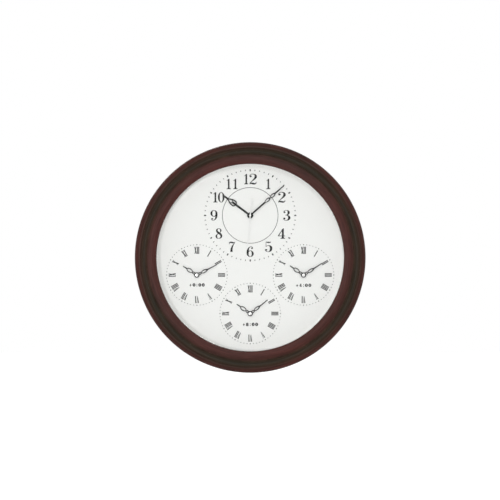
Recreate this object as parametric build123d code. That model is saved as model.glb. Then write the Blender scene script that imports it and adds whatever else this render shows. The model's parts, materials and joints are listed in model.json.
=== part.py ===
from build123d import *
from math import cos, radians, sin
import os

# A round wooden wall clock with a large dial and three small ones behind one glass.
# Each dial has its own battery movement, and the set knobs and batteries are at the back.
# Sizes are in millimetres. The clock is drawn lying on its back, X to the right, Y up the
# dial and Z towards the viewer, with the origin on its axis at half its depth. The last
# step stands it up, so that its front looks along -Y.

# Wooden ring, from its window outwards
window_radius = 162.3
lip_round = 2.0
band_width = 13.0
band_crown = 0.8
quirk_width = 1.2
quirk_depth = 0.4
cove_width = 10.8
cove_depth = 3.2
bead_step_width = 1.2
bead_radius = 9.5
back_chamfer = 2.0
glass_ledge_width = 5.7
board_ledge_width = 10.5

# What is stacked behind the lip, from the front to the wall
lip_depth = 9.0
glass_thickness = 2.0
display_depth = 13.0
sheet_thickness = 0.4
board_thickness = 4.0
gasket_thickness = 0.5
back_room = 0.6
pad_thickness = 1.5

# Fits
loose_fit = 0.3
board_fit = 0.5
press_fit = 0.02
running_fit = 0.05
overrun = 1.0

# Spacer ring, and how far in from the window's edge the middles of the four dials lie
spacer_setback = 1.0
main_dial_margin = 88.8
small_dial_margin = 64.4
side_dial_direction = 18.1

# Countersunk screws of the board and of the hanger plate
screw_radius = 1.5
screw_head_radius = 2.9
screw_head_height = 1.1
screw_length = 11.0
screw_slot_length = 3.0
screw_slot_width = 0.7
screw_slot_depth = 0.6
board_screw_count = 8

# Keyhole hanger plate and wall pads
hanger_width = 34.0
hanger_height = 15.0
hanger_thickness = 1.2
hanger_corner = 2.0
keyhole_radius = 4.6
keyhole_travel = 5.8
keyhole_slot_width = 4.2
keyhole_depth = 9.0
keyhole_room = 0.3
hanger_screw_reach = 13.0
pad_radius = 6.0
pad_count = 4

# Movement case
case_side = 56.0
case_wall = 1.3
case_corner = 4.0
partition_wall = 1.2
cover_thickness = 1.3
cover_fit = 0.15
post_radius = 2.2
small_post_radius = 1.2
bush_radius = 3.9
bush_inset = 0.1
bush_hole_fit = 0.2
gasket_margin = 1.0

# Washer and nut at the dial
nut_radius = 6.4
nut_height = 2.0
washer_radius = 7.0
washer_thickness = 0.4
counterbore_fit = 0.6
nut_room = 0.1

# Battery and its contacts
battery_radius = 7.25
battery_length = 50.0
battery_nub_radius = 2.75
battery_nub_height = 1.2
battery_edge = 0.5
battery_room = 0.3
contact_thickness = 0.4
contact_height = 9.0
contact_width = 8.0
contact_gap = 0.1
contact_room = 1.7

# Arbors and wheels
hour_pipe_radius = 2.6
minute_arbor_radius = 1.5
second_arbor_radius = 0.5
motion_arbor_radius = 0.75
pivot_radius = 0.5
pivot_depth = 0.9
pivot_end_room = 0.1
wheel_thickness = 1.0
layer_gap = 0.5
pinion_margin = 0.2
plate_thickness = 1.0
plate_hole_fit = 0.3
plate_reach_share = 0.6
motion_module = 0.5
train_module = 0.27
fifth_module = 0.35
rotor_module = 0.3

# Numbers of teeth, and the directions of the arbors in degrees from the right
minute_pinion_teeth = 10
motion_wheel_teeth = 30
motion_pinion_teeth = 8
hour_wheel_teeth = 32
centre_wheel_teeth = 64
third_wheel_teeth = 60
second_wheel_teeth = 40
fifth_wheel_teeth = 48
train_pinion_teeth = 8
motion_direction = 135.0
third_direction = 0.0
fifth_direction = 72.0
rotor_direction = 90.0

# A tooth's corners: reach from the pitch circle in modules, half width in tooth pitches
wheel_tooth_shares = ((-1.0, 0.25), (0.0, 0.22), (1.2, 0.07))
pinion_tooth_shares = ((-1.45, 0.2), (0.0, 0.18), (0.75, 0.08))

# Set knob
knob_radius = 4.5
knob_height = 2.2
knob_gap = 0.3
knob_rib_count = 20
knob_rib_depth = 0.35

# Stepping motor and circuit board
magnet_radius = 2.8
magnet_height = 2.0
magnet_fit = 0.5
stator_thickness = 0.8
stator_reach = 13.0
stator_half_height = 4.0
stator_leg_width = 4.0
core_height = 1.8
core_rise = 6.7
coil_radius = 2.0
coil_margin = 0.6
circuit_width = 10.0
circuit_height = 16.0
circuit_thickness = 1.0
circuit_left = 21.6
circuit_foot = 9.0
chip_radius = 2.5
chip_height = 1.2
crystal_radius = 1.0
crystal_length = 6.0

# Hands: thickness, gaps and hubs
hand_thickness = 0.5
hand_gap = 1.0
collar_height = 0.8
collar_wall = 1.0
main_hour_hub = 5.4
main_minute_hub = 4.6
small_hub = 4.5
hand_nut_radius = 2.9
hand_nut_height = 1.6
hand_nut_edge = 0.4

# Large hour hand: a spade with three openings and a spear tip
main_hour_length = 59.5
main_hour_stem = 3.5
spade_foot = 30.5
spade_widest = 35.7
spade_head = 51.0
spade_half_width = 5.5
spade_stroke = 2.0
spade_fork = 38.2
spade_arm = 1.0
spade_slope_shares = (0.1, 2.6)
main_hour_tip = 3.6

# Large minute hand: two long loops and a needle
main_minute_length = 78.7
main_minute_stem = 2.7
first_lens_foot = 33.6
second_lens_foot = 45.7
lens_head = 59.3
lens_half_width = 3.1
lens_stroke = 1.6
lens_slope_shares = (1.2, 1.2)
main_minute_tip = 2.5

# White second hand
second_length = 53.0
second_tail = 30.0
second_width = 1.9
second_hub = 1.7

# Small hands: a short loop, a wide loop and a needle
small_hour_length = 28.8
small_minute_length = 38.7
short_loop_head = 9.7
short_loop_half_width = 2.3
short_loop_slope_shares = (0.3, 0.3)
diamond_head = 21.2
diamond_widest = 15.2
diamond_half_width = 3.5
diamond_slope_shares = (0.5, 0.5)
leaf_head = 22.6
leaf_widest = 14.6
leaf_half_width = 2.9
leaf_slope_shares = (0.6, 1.2)
small_stroke = 1.5
leaf_head_stroke = 3.6
small_tip = 2.0
needle_tip_share = 0.7

# Where each pair of hands stands, in degrees clockwise from twelve
hand_angles = {
    "main": (306.5, 48.5),
    "left": (302.8, 62.5),
    "right": (304.3, 57.3),
    "lower": (305.2, 51.5),
}
second_angle = 185.0

# Worked out from the sizes above: radii
glass_seat_radius = window_radius + glass_ledge_width
glass_radius = glass_seat_radius - loose_fit
cavity_radius = glass_seat_radius + board_ledge_width
board_radius = cavity_radius - board_fit
band_start = window_radius + lip_round
cove_start = band_start + band_width + quirk_width
bead_centre = cove_start + cove_width + bead_step_width
ring_radius = bead_centre + bead_radius
wall_middle_radius = (cavity_radius + ring_radius) / 2
board_screw_radius = (glass_seat_radius + board_radius) / 2

# Movement depths, counted back from the front of its case
bay_height = 2 * (battery_radius + battery_room)
case_depth = case_wall + bay_height
cover_front = cover_thickness - case_depth
rear_pivot_end = cover_front - cover_thickness + pivot_end_room
hour_wheel_front = -case_wall - layer_gap
motion_wheel_front = hour_wheel_front - wheel_thickness - layer_gap
centre_wheel_front = motion_wheel_front - wheel_thickness - layer_gap
plate_front = centre_wheel_front - wheel_thickness - layer_gap
third_wheel_front = plate_front - plate_thickness - layer_gap
second_wheel_front = third_wheel_front - wheel_thickness - layer_gap
fifth_wheel_front = second_wheel_front - wheel_thickness - layer_gap
stator_front = fifth_wheel_front - wheel_thickness - layer_gap - pinion_margin
circuit_front = fifth_wheel_front
knob_front = -case_depth - knob_gap

# Levels of the stack, along Z
total_depth = (
    lip_depth + glass_thickness + display_depth + sheet_thickness + board_thickness
    + gasket_thickness + case_depth + knob_gap + knob_height + back_room + pad_thickness
)
front_level = total_depth / 2
glass_front = front_level - lip_depth
glass_back = glass_front - glass_thickness
sheet_front = glass_back - display_depth
board_front = sheet_front - sheet_thickness
board_back = board_front - board_thickness
case_front = board_back - gasket_thickness
wall_level = -total_depth / 2
ring_back = wall_level + pad_thickness

# Hand levels, counted forward from the front of the case
sheet_level = sheet_front - case_front
hour_hand_level = sheet_level + hand_gap
hour_pipe_top = hour_hand_level + hand_thickness + collar_height
minute_hand_level = hour_pipe_top + hand_gap
main_minute_top = minute_hand_level + hand_thickness + collar_height
second_hand_level = main_minute_top + hand_gap
small_minute_top = minute_hand_level + hand_thickness + hand_nut_height / 2
bush_top = sheet_level - sheet_thickness - bush_inset

small_dials = ("left", "right", "lower")


def polar(distance, direction):
    """A point at a distance from the origin, its direction in degrees."""
    return (distance * cos(radians(direction)), distance * sin(radians(direction)))


def mesh_distance(module, wheel_teeth, pinion_teeth):
    """How far apart the arbors of a wheel and its pinion are."""
    return module * (wheel_teeth + pinion_teeth) / 2


# Places in the plane of the dial
small_dial_distance = window_radius - small_dial_margin
dials = {
    "main": (0, window_radius - main_dial_margin),
    "left": polar(small_dial_distance, 180 + side_dial_direction),
    "right": polar(small_dial_distance, -side_dial_direction),
    "lower": (0, -small_dial_distance),
}
motion_distance = mesh_distance(motion_module, motion_wheel_teeth, minute_pinion_teeth)
motion_place = polar(motion_distance, motion_direction)
hour_module = 2 * motion_distance / (hour_wheel_teeth + motion_pinion_teeth)
third_distance = mesh_distance(train_module, centre_wheel_teeth, train_pinion_teeth)
third_place = polar(third_distance, third_direction)
third_module = 2 * third_distance / (third_wheel_teeth + train_pinion_teeth)
fifth_place = polar(mesh_distance(fifth_module, second_wheel_teeth, train_pinion_teeth), fifth_direction)
rotor_step = polar(mesh_distance(rotor_module, fifth_wheel_teeth, train_pinion_teeth), rotor_direction)
rotor_place = (fifth_place[0] + rotor_step[0], fifth_place[1] + rotor_step[1])

# Inside the case: the chamber of the wheels above, the battery bay below
inner_reach = case_side / 2 - case_wall
bay_reach = battery_length / 2 + contact_room
bay_middle = bay_height / 2 - inner_reach
partition_top = bay_middle + bay_height / 2 + partition_wall
chamber_height = inner_reach - partition_top
chamber_middle = partition_top + chamber_height / 2
cover_post_reach = inner_reach - post_radius
cover_posts = [
    (side * cover_post_reach, height)
    for side in (-1, 1)
    for height in (cover_post_reach, partition_top + post_radius)
]
plate_reach = inner_reach * plate_reach_share
plate_foot = partition_top + layer_gap
plate_head = rotor_place[1] + post_radius + small_post_radius / 2
plate_posts = [
    (side * (plate_reach - small_post_radius), height)
    for side in (-1, 1)
    for height in (plate_foot + small_post_radius, plate_head - small_post_radius)
]
core_middle = rotor_place[1] + core_rise
stator_posts = [
    (rotor_place[0] + side * (stator_reach - stator_leg_width / 2), core_middle) for side in (-1, 1)
]
circuit_middle = (circuit_width / 2 - circuit_left, circuit_foot + circuit_height / 2)
circuit_posts = [
    (
        circuit_middle[0] + side * (circuit_width / 2 - post_radius),
        circuit_middle[1] + side * (circuit_height / 2 - post_radius),
    )
    for side in (-1, 1)
]
keyhole_foot = wall_middle_radius - keyhole_travel / 2
keyhole_head = keyhole_foot + keyhole_travel
hanger_middle = (keyhole_foot - keyhole_radius + keyhole_head + keyhole_slot_width / 2) / 2


def disc(radius, front, thickness, place=(0, 0)):
    """A round slab whose front face lies at the level front."""
    middle = front - thickness / 2
    return Pos(place[0], place[1], middle) * Cylinder(radius, thickness)


def slab(width, height, front, thickness, place=(0, 0)):
    """A rectangular slab whose front face lies at the level front."""
    middle = front - thickness / 2
    return Pos(place[0], place[1], middle) * Box(width, height, thickness)


def plate(face, back, thickness):
    """A flat outline given its thickness, from the level back towards the viewer."""
    return Pos(0, 0, back) * extrude(face, thickness)


def at_dial(name, shape):
    """A movement's piece, moved behind its dial."""
    x, y = dials[name]
    return Pos(x, y, case_front) * shape


def around(count, radius, start=0.0):
    """Places spaced evenly on a circle."""
    return [polar(radius, start + index * 360 / count) for index in range(count)]


# Wooden ring


def ring_profile():
    """Half of the ring's section: radius across, level up."""
    band_edge = front_level - band_crown
    cove_edge = band_edge - quirk_depth
    band_end = band_start + band_width
    cove_end = cove_start + cove_width
    side_top = front_level - bead_radius
    outline = [
        Line((window_radius, glass_front), (window_radius, band_edge - lip_round)),
        CenterArc((band_start, band_edge - lip_round), lip_round, 90, 90),
        ThreePointArc(
            (band_start, band_edge),
            (band_start + band_width / 2, front_level),
            (band_end, band_edge),
        ),
        Line((band_end, band_edge), (cove_start, cove_edge)),
        ThreePointArc(
            (cove_start, cove_edge),
            (cove_start + cove_width / 2, cove_edge - cove_depth),
            (cove_end, cove_edge),
        ),
        Line((cove_end, cove_edge), (bead_centre, front_level)),
        CenterArc((bead_centre, side_top), bead_radius, 0, 90),
        Polyline(
            (ring_radius, side_top),
            (ring_radius, ring_back + back_chamfer),
            (ring_radius - back_chamfer, ring_back),
            (cavity_radius, ring_back),
            (cavity_radius, board_front),
            (glass_seat_radius, board_front),
            (glass_seat_radius, glass_front),
            (window_radius, glass_front),
        ),
    ]
    return make_face(Curve() + outline)


def keyhole(radius, slot_width, front, thickness):
    """A round hole with a slot that runs up from it, as a solid."""
    round_hole = disc(radius, front, thickness, (0, keyhole_foot))
    slot = slab(slot_width, keyhole_travel, front, thickness, (0, wall_middle_radius))
    slot_end = disc(slot_width / 2, front, thickness, (0, keyhole_head))
    return round_hole + slot + slot_end


def hanger_blank(fit):
    """The plate's outline, let into the back of the ring."""
    outline = RectangleRounded(hanger_width + 2 * fit, hanger_height + 2 * fit, hanger_corner)
    return Pos(0, hanger_middle, ring_back) * extrude(outline, hanger_thickness)


def wood_screw(fit=0.0):
    """A countersunk screw whose head lies at Z 0 and whose point looks along +Z."""
    shank = screw_radius + fit
    head = screw_head_radius + fit
    end = screw_length + fit
    profile = make_face(Polyline(
        (0, 0), (head, 0), (shank, screw_head_height + fit),
        (shank, end - screw_radius), (0, end), (0, 0),
    ))
    return revolve(Plane.XZ * profile, Axis.Z)


def screw_places():
    """The board's screws and then the hanger's, each at the level of its head."""
    places = around(board_screw_count, board_screw_radius, 180 / board_screw_count)
    board = [(x, y, board_back) for x, y in places]
    hanger = [(side * hanger_screw_reach, hanger_middle, ring_back) for side in (-1, 1)]
    return board + hanger


def screw_holes():
    """The holes that the screws cut in what they pass through."""
    return [Pos(*place) * wood_screw(press_fit) for place in screw_places()]


def frame_ring():
    ring = revolve(Plane.XZ * ring_profile(), Axis.Z)
    pocket_radius = keyhole_radius + keyhole_room
    pocket_front = ring_back + hanger_thickness + keyhole_depth
    pocket = keyhole(pocket_radius, 2 * pocket_radius, pocket_front, keyhole_depth)
    return ring - hanger_blank(running_fit) - pocket - screw_holes()


def hanger_plate():
    cut_front = ring_back + hanger_thickness + overrun
    cut = keyhole(keyhole_radius, keyhole_slot_width, cut_front, hanger_thickness + 2 * overrun)
    return hanger_blank(0) - cut - screw_holes()


def wood_screws():
    """Every screw of the board and of the hanger, with its crossed slots."""
    slots = slab(screw_slot_length, screw_slot_width, screw_slot_depth, screw_slot_depth)
    slots += slab(screw_slot_width, screw_slot_length, screw_slot_depth, screw_slot_depth)
    screw = wood_screw() - slots
    return [Pos(*place) * screw for place in screw_places()]


def wall_pads():
    places = around(pad_count, wall_middle_radius, 180 / pad_count)
    return [disc(pad_radius, ring_back, pad_thickness, place) for place in places]


# Glass, spacer, dial sheet and board


def glass_lens():
    return disc(glass_radius, glass_front, glass_thickness)


def spacer_ring():
    inner_radius = window_radius + spacer_setback
    return disc(glass_radius, glass_back, display_depth) - disc(inner_radius, glass_back, display_depth)


def dial_sheet():
    sheet = disc(glass_radius, sheet_front, sheet_thickness)
    for place in dials.values():
        sheet -= disc(hour_pipe_radius + loose_fit, sheet_front, sheet_thickness, place)
    return sheet


def dial_board():
    board = disc(board_radius, board_front, board_thickness)
    counterbore_depth = washer_thickness + nut_height + nut_room
    for place in dials.values():
        board -= disc(bush_radius + bush_hole_fit, board_front, board_thickness, place)
        board -= disc(washer_radius + counterbore_fit, board_front, counterbore_depth, place)
    return board - screw_holes()


def counterbore_floor():
    """Level of the washer's back, counted from the front of the case."""
    return bush_top + bush_inset - washer_thickness - nut_height - nut_room


def dial_washer():
    front = counterbore_floor() + washer_thickness
    washer = disc(washer_radius, front, washer_thickness)
    return washer - disc(bush_radius + press_fit, front, washer_thickness)


def dial_nut():
    back = counterbore_floor() + washer_thickness
    hexagon = RegularPolygon(nut_radius, 6) - Circle(bush_radius + press_fit)
    return plate(hexagon, back, nut_height)


def gasket():
    side = case_side - 2 * gasket_margin
    sheet = slab(side, side, gasket_thickness, gasket_thickness)
    return sheet - disc(bush_radius + bush_hole_fit, gasket_thickness, gasket_thickness)


# Movement case and cover


def post(place, back, radius=small_post_radius):
    """A moulded post that rises from the front wall of the case."""
    return disc(radius, -case_wall, -case_wall - back, place)


def blind_hole(place, radius, back):
    """A pivot hole, open to the rear at the level back."""
    return disc(radius, back + pivot_depth, pivot_depth, place)


def front_case():
    """The moulded case with its bush, wheel chamber, battery bay and posts."""
    hollow_depth = case_depth - case_wall
    outline = RectangleRounded(case_side, case_side, case_corner)
    bay_foot = -case_side / 2
    bay_outline = RectangleRounded(
        2 * (bay_reach + case_wall), partition_top - bay_foot, case_corner,
    )
    outline += Pos(0, (partition_top + bay_foot) / 2) * bay_outline
    case = plate(outline, -case_depth, case_depth)
    chamber_width = 2 * inner_reach
    case -= slab(chamber_width, chamber_height, -case_wall, hollow_depth, (0, chamber_middle))
    case -= slab(2 * bay_reach, bay_height, -case_wall, hollow_depth, (0, bay_middle))
    case += disc(bush_radius, bush_top, bush_top)
    for place in cover_posts:
        case += post(place, cover_front, post_radius)
    for place in plate_posts:
        case += post(place, plate_front)
        case += disc(small_post_radius / 2, plate_front, plate_thickness, place)
    for place in stator_posts:
        case += post(place, stator_front)
    for place in circuit_posts:
        case += post(place, circuit_front)
    third_post_back = centre_wheel_front + pinion_margin + pivot_end_room
    case += post(third_place, third_post_back, 2 * pivot_radius)
    case -= blind_hole(third_place, pivot_radius + running_fit, third_post_back)
    case -= blind_hole(motion_place, motion_arbor_radius + running_fit, -case_wall)
    return case - disc(hour_pipe_radius + running_fit, bush_top, bush_top + case_wall)


def rear_cover():
    """The plate that closes the wheel chamber, with the holes of the rear pivots."""
    width = 2 * (inner_reach - cover_fit)
    cover = slab(width, chamber_height - 2 * cover_fit, cover_front, cover_thickness, (0, chamber_middle))
    for place in ((0, 0), third_place, fifth_place, rotor_place):
        cover -= disc(pivot_radius + running_fit, cover_front, cover_thickness, place)
    return cover - disc(motion_arbor_radius + running_fit, cover_front, cover_thickness, motion_place)


def middle_plate():
    """The plate on posts that carries the front pivots of the fifth wheel and rotor."""
    height = plate_head - plate_foot
    middle = (0, (plate_head + plate_foot) / 2)
    body = slab(2 * plate_reach, height, plate_front, plate_thickness, middle)
    holes = [(place, small_post_radius / 2 + running_fit) for place in plate_posts]
    holes += [(place, pivot_radius + running_fit) for place in (fifth_place, rotor_place)]
    holes += [((0, 0), second_arbor_radius + plate_hole_fit)]
    holes += [(third_place, pivot_radius + plate_hole_fit)]
    holes += [(motion_place, motion_arbor_radius + plate_hole_fit)]
    for place, radius in holes:
        body -= disc(radius, plate_front, plate_thickness, place)
    return body


# Wheels


def toothed(teeth, module, tooth_shares, facing, tooth_first, front, thickness):
    """A flat-sided wheel or pinion. A tooth, or else a gap, looks towards its mate."""
    pitch = 360 / teeth
    first = facing if tooth_first else facing + pitch / 2
    rise = [(reach, -half) for reach, half in tooth_shares]
    fall = [(reach, half) for reach, half in reversed(tooth_shares)]
    corners = [
        polar(module * (teeth / 2 + reach), first + pitch * (index + half))
        for index in range(teeth)
        for reach, half in rise + fall
    ]
    return plate(make_face(Polyline(*corners, close=True)), front - thickness, thickness)


def wheel(teeth, module, mate_direction, front):
    return toothed(teeth, module, wheel_tooth_shares, mate_direction, True, front, wheel_thickness)


def pinion(teeth, module, mate_direction, front, back):
    return toothed(teeth, module, pinion_tooth_shares, mate_direction, False, front, front - back)


def arbor(radius, front, back):
    return disc(radius, front, front - back)


def hour_wheel():
    """The hour wheel with the pipe that carries the hour hand."""
    back = hour_wheel_front - wheel_thickness
    body = wheel(hour_wheel_teeth, hour_module, motion_direction, hour_wheel_front)
    body += arbor(hour_pipe_radius, hour_pipe_top, back)
    return body - arbor(minute_arbor_radius + running_fit, hour_pipe_top, back)


def minute_pinion():
    front = motion_wheel_front + pinion_margin
    back = motion_wheel_front - wheel_thickness - pinion_margin
    return pinion(minute_pinion_teeth, motion_module, motion_direction, front, back)


def main_minute_arbor():
    """The bored arbor that carries the minute hand, with a collar behind the centre wheel."""
    back = plate_front + pivot_end_room
    collar_front = centre_wheel_front - wheel_thickness - pivot_end_room
    body = minute_pinion() + arbor(minute_arbor_radius, main_minute_top, back)
    body += arbor(minute_arbor_radius + collar_wall, collar_front, back)
    return body - arbor(second_arbor_radius + running_fit, main_minute_top, back)


def small_minute_arbor():
    """The solid arbor of a small movement, with its pinion and centre wheel in one."""
    body = minute_pinion() + arbor(minute_arbor_radius, small_minute_top, cover_front + layer_gap)
    body += wheel(centre_wheel_teeth, train_module, third_direction, centre_wheel_front)
    return body + arbor(pivot_radius, cover_front + layer_gap, rear_pivot_end)


def centre_wheel():
    """The wheel that turns the minute arbor by friction."""
    body = wheel(centre_wheel_teeth, train_module, third_direction, centre_wheel_front)
    hole = minute_arbor_radius + running_fit
    return body - arbor(hole, centre_wheel_front, centre_wheel_front - wheel_thickness)


def motion_wheel():
    """The wheel and pinion between the minute arbor and the hour wheel."""
    mate = motion_direction + 180
    front = hour_wheel_front + pinion_margin
    body = wheel(motion_wheel_teeth, motion_module, mate, motion_wheel_front)
    body += pinion(motion_pinion_teeth, hour_module, mate, front, motion_wheel_front)
    arbor_front = pivot_depth - case_wall - pivot_end_room
    body += arbor(motion_arbor_radius, arbor_front, knob_front - knob_height)
    return Pos(*motion_place) * body


def set_knob():
    """The ribbed knob pressed on the end of the motion wheel's arbor."""
    step = 360 / knob_rib_count
    corners = [
        polar(knob_radius - knob_rib_depth * (index % 2), index * step / 2)
        for index in range(2 * knob_rib_count)
    ]
    body = plate(make_face(Polyline(*corners, close=True)), knob_front - knob_height, knob_height)
    body -= arbor(motion_arbor_radius + press_fit, knob_front, knob_front - knob_height)
    return Pos(*motion_place) * body


def third_wheel():
    mate = third_direction + 180
    pinion_front = centre_wheel_front + pinion_margin
    pinion_back = centre_wheel_front - wheel_thickness - pinion_margin
    body = pinion(train_pinion_teeth, train_module, mate, pinion_front, pinion_back)
    body += wheel(third_wheel_teeth, third_module, mate, third_wheel_front)
    pivot_front = pinion_front + pivot_depth
    body += arbor(pivot_radius, pivot_front, rear_pivot_end)
    return Pos(*third_place) * body


def second_wheel():
    """The second wheel on the long arbor that carries the second hand."""
    body = wheel(second_wheel_teeth, fifth_module, fifth_direction, second_wheel_front)
    body += pinion(
        train_pinion_teeth, third_module, third_direction,
        third_wheel_front + pinion_margin, second_wheel_front,
    )
    top = second_hand_level + hand_thickness / 2
    return body + arbor(second_arbor_radius, top, rear_pivot_end)


def fifth_wheel():
    body = wheel(fifth_wheel_teeth, rotor_module, rotor_direction, fifth_wheel_front)
    body += pinion(
        train_pinion_teeth, fifth_module, fifth_direction + 180,
        second_wheel_front + pinion_margin, fifth_wheel_front,
    )
    pivot_front = plate_front - pivot_end_room
    body += arbor(pivot_radius, pivot_front, rear_pivot_end)
    return Pos(*fifth_place) * body


def rotor():
    """The motor's magnet with its pinion."""
    pinion_back = fifth_wheel_front - wheel_thickness - pinion_margin
    body = pinion(
        train_pinion_teeth, rotor_module, rotor_direction + 180,
        fifth_wheel_front + pinion_margin, pinion_back,
    )
    magnet_front = stator_front + (magnet_height - stator_thickness) / 2
    body += arbor(magnet_radius, magnet_front, magnet_front - magnet_height)
    pivot_front = plate_front - pivot_end_room
    body += arbor(pivot_radius, pivot_front, rear_pivot_end)
    return Pos(*rotor_place) * body


# Motor and electrics


def motor_stator():
    """The iron plate round the rotor, with its legs and the core inside the coil."""
    width = 2 * stator_reach
    body = slab(width, 2 * stator_half_height, stator_front, stator_thickness, rotor_place)
    leg_height = core_rise + core_height / 2
    for x, y in stator_posts:
        leg_middle = (x, rotor_place[1] + leg_height / 2)
        body += slab(stator_leg_width, leg_height, stator_front, stator_thickness, leg_middle)
    body += slab(width, core_height, stator_front, stator_thickness, (rotor_place[0], core_middle))
    return body - disc(magnet_radius + magnet_fit, stator_front, stator_thickness, rotor_place)


def motor_coil():
    length = 2 * (stator_reach - stator_leg_width - coil_margin)
    height = stator_front - stator_thickness / 2
    winding = Pos(rotor_place[0], core_middle, height) * Rot(0, 90, 0) * Cylinder(coil_radius, length)
    hole_height = core_height + 2 * running_fit
    hole_front = stator_front + running_fit
    hole_middle = (rotor_place[0], core_middle)
    return winding - slab(length, hole_height, hole_front, stator_thickness + 2 * running_fit, hole_middle)


def circuit_board():
    """The board, with its chip under a round blob."""
    body = slab(circuit_width, circuit_height, circuit_front, circuit_thickness, circuit_middle)
    chip_place = (circuit_middle[0], circuit_middle[1] - circuit_height / 4)
    return body + disc(chip_radius, circuit_front - circuit_thickness, chip_height, chip_place)


def quartz_crystal():
    """The small metal can that lies on the circuit board."""
    y = circuit_middle[1] + circuit_height / 4
    z = circuit_front - circuit_thickness - crystal_radius
    return Pos(circuit_middle[0], y, z) * Rot(0, 90, 0) * Cylinder(crystal_radius, crystal_length)


def battery_middle_level():
    return -case_wall - battery_room - battery_radius


def battery_end():
    """How far right the battery's nub reaches."""
    return bay_reach - contact_thickness - contact_gap


def battery():
    can_length = battery_length - battery_nub_height
    can = chamfer(Cylinder(battery_radius, can_length).edges(), battery_edge)
    nub_start = battery_end() - battery_nub_height
    can = Pos(nub_start - can_length / 2, 0, 0) * Rot(0, 90, 0) * can
    nub_middle = battery_end() - battery_nub_height / 2
    nub = Pos(nub_middle, 0, 0) * Rot(0, 90, 0) * Cylinder(battery_nub_radius, battery_nub_height)
    return Pos(0, bay_middle, battery_middle_level()) * (can + nub)


def battery_contacts():
    """The flat plate at the nub and the sprung leaf at the other end."""
    front = battery_middle_level() + contact_width / 2
    plate_middle = (bay_reach - contact_thickness / 2, bay_middle)
    positive = slab(contact_thickness, contact_height, front, contact_width, plate_middle)
    spring_reach = battery_end() - battery_length - contact_gap
    wall = -bay_reach
    half = contact_height / 2
    outer = [(wall, -half), (spring_reach, 0), (wall, half)]
    inner = [(wall, half - contact_thickness * 2), (spring_reach - contact_thickness * 2, 0),
             (wall, contact_thickness * 2 - half)]
    leaf = make_face(Polyline(*outer, *inner, close=True))
    negative = Pos(0, bay_middle, 0) * plate(leaf, front - contact_width, contact_width)
    return [positive, negative]


# Hands, drawn pointing up from their hub


def loop_face(foot, widest, head, half_width, slope_shares):
    """A closed leaf: out from the foot to the widest point, and in to the head."""
    foot_slope, head_slope = slope_shares
    right_foot = Spline((0, foot), (half_width, widest), tangents=[(1, foot_slope), (0, 1)])
    right_head = Spline((half_width, widest), (0, head), tangents=[(0, 1), (-1, head_slope)])
    right = Curve() + [right_foot, right_head]
    left = mirror(right, Plane.YZ)
    return make_face(Curve() + [right, left])


def open_loop(foot, widest, head, half_width, slope_shares, stroke, head_stroke):
    """A leaf, and the opening inside it that leaves a stroke all round."""
    outer = loop_face(foot, widest, head, half_width, slope_shares)
    inner = loop_face(foot + stroke, widest, head - head_stroke, half_width - stroke, slope_shares)
    return outer, inner


def bar(width, foot, head):
    """A straight stretch of a hand."""
    return Pos(0, (foot + head) / 2) * Rectangle(width, head - foot)


def needle(foot, head, width):
    """A straight taper that ends in a narrow tip."""
    tip = width * needle_tip_share
    corners = [(-width / 2, foot), (width / 2, foot), (tip / 2, head), (-tip / 2, head)]
    return make_face(Polyline(*corners, close=True))


def main_hour_face():
    outer, inner = open_loop(
        spade_foot, spade_widest, spade_head, spade_half_width, spade_slope_shares,
        spade_stroke, 2 * spade_stroke,
    )
    arms = Sketch()
    for side in (-1, 1):
        arm_x, arm_y = side * spade_half_width, spade_fork + spade_half_width
        arms += make_face(Polyline(
            (0, spade_fork - spade_arm), (arm_x, arm_y - spade_arm),
            (arm_x, arm_y + spade_arm), (0, spade_fork + spade_arm / 2), close=True,
        ))
    stem = bar(main_hour_stem, 0, spade_fork)
    openings = inner - stem - arms
    spear_foot = spade_head - 2 * spade_stroke
    return stem + outer + needle(spear_foot, main_hour_length, main_hour_tip) - openings


def main_minute_face():
    stem = bar(main_minute_stem, 0, first_lens_foot + lens_stroke)
    face = stem + needle(lens_head - lens_stroke, main_minute_length, main_minute_tip)
    for foot, head in ((first_lens_foot, second_lens_foot + lens_stroke), (second_lens_foot, lens_head)):
        outer, inner = open_loop(
            foot, (foot + head) / 2, head, lens_half_width, lens_slope_shares,
            lens_stroke, 2 * lens_stroke,
        )
        face += outer - inner
    return face


def small_hour_face():
    outer, inner = open_loop(
        short_loop_head - small_stroke, diamond_widest, diamond_head, diamond_half_width,
        diamond_slope_shares, small_stroke, small_stroke,
    )
    face = short_loop() + (outer - inner)
    return face + needle(diamond_head - small_stroke, small_hour_length, small_tip)


def small_minute_face():
    outer, inner = open_loop(
        short_loop_head - small_stroke, leaf_widest, leaf_head, leaf_half_width,
        leaf_slope_shares, small_stroke, leaf_head_stroke,
    )
    face = short_loop() + (outer - inner)
    return face + needle(leaf_head - small_stroke, small_minute_length, small_tip)


def short_loop():
    """The short loop between the hub of a small hand and its wide loop."""
    foot = small_hub - 2 * small_stroke
    outer, inner = open_loop(
        foot, (foot + short_loop_head) / 2, short_loop_head, short_loop_half_width,
        short_loop_slope_shares, small_stroke, small_stroke,
    )
    return outer - inner


def hand(face, hub, bore, level, collar, angle):
    """A flat hand on its hub, turned clockwise to where it stands."""
    body = plate(face + Circle(hub), level, hand_thickness)
    top = level + hand_thickness + collar_height
    if collar:
        body += disc(bore + collar_wall, top, collar_height)
    body -= disc(bore + press_fit, top, collar_height + hand_thickness)
    return Rot(0, 0, -angle) * body


def hour_hand(name):
    large = name == "main"
    face = main_hour_face() if large else small_hour_face()
    hub = main_hour_hub if large else small_hub
    return hand(face, hub, hour_pipe_radius, hour_hand_level, True, hand_angles[name][0])


def minute_hand(name):
    """The large one has a collar; a small one is held by the nut in front of it."""
    large = name == "main"
    face = main_minute_face() if large else small_minute_face()
    hub = main_minute_hub if large else small_hub
    return hand(face, hub, minute_arbor_radius, minute_hand_level, large, hand_angles[name][1])


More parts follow.
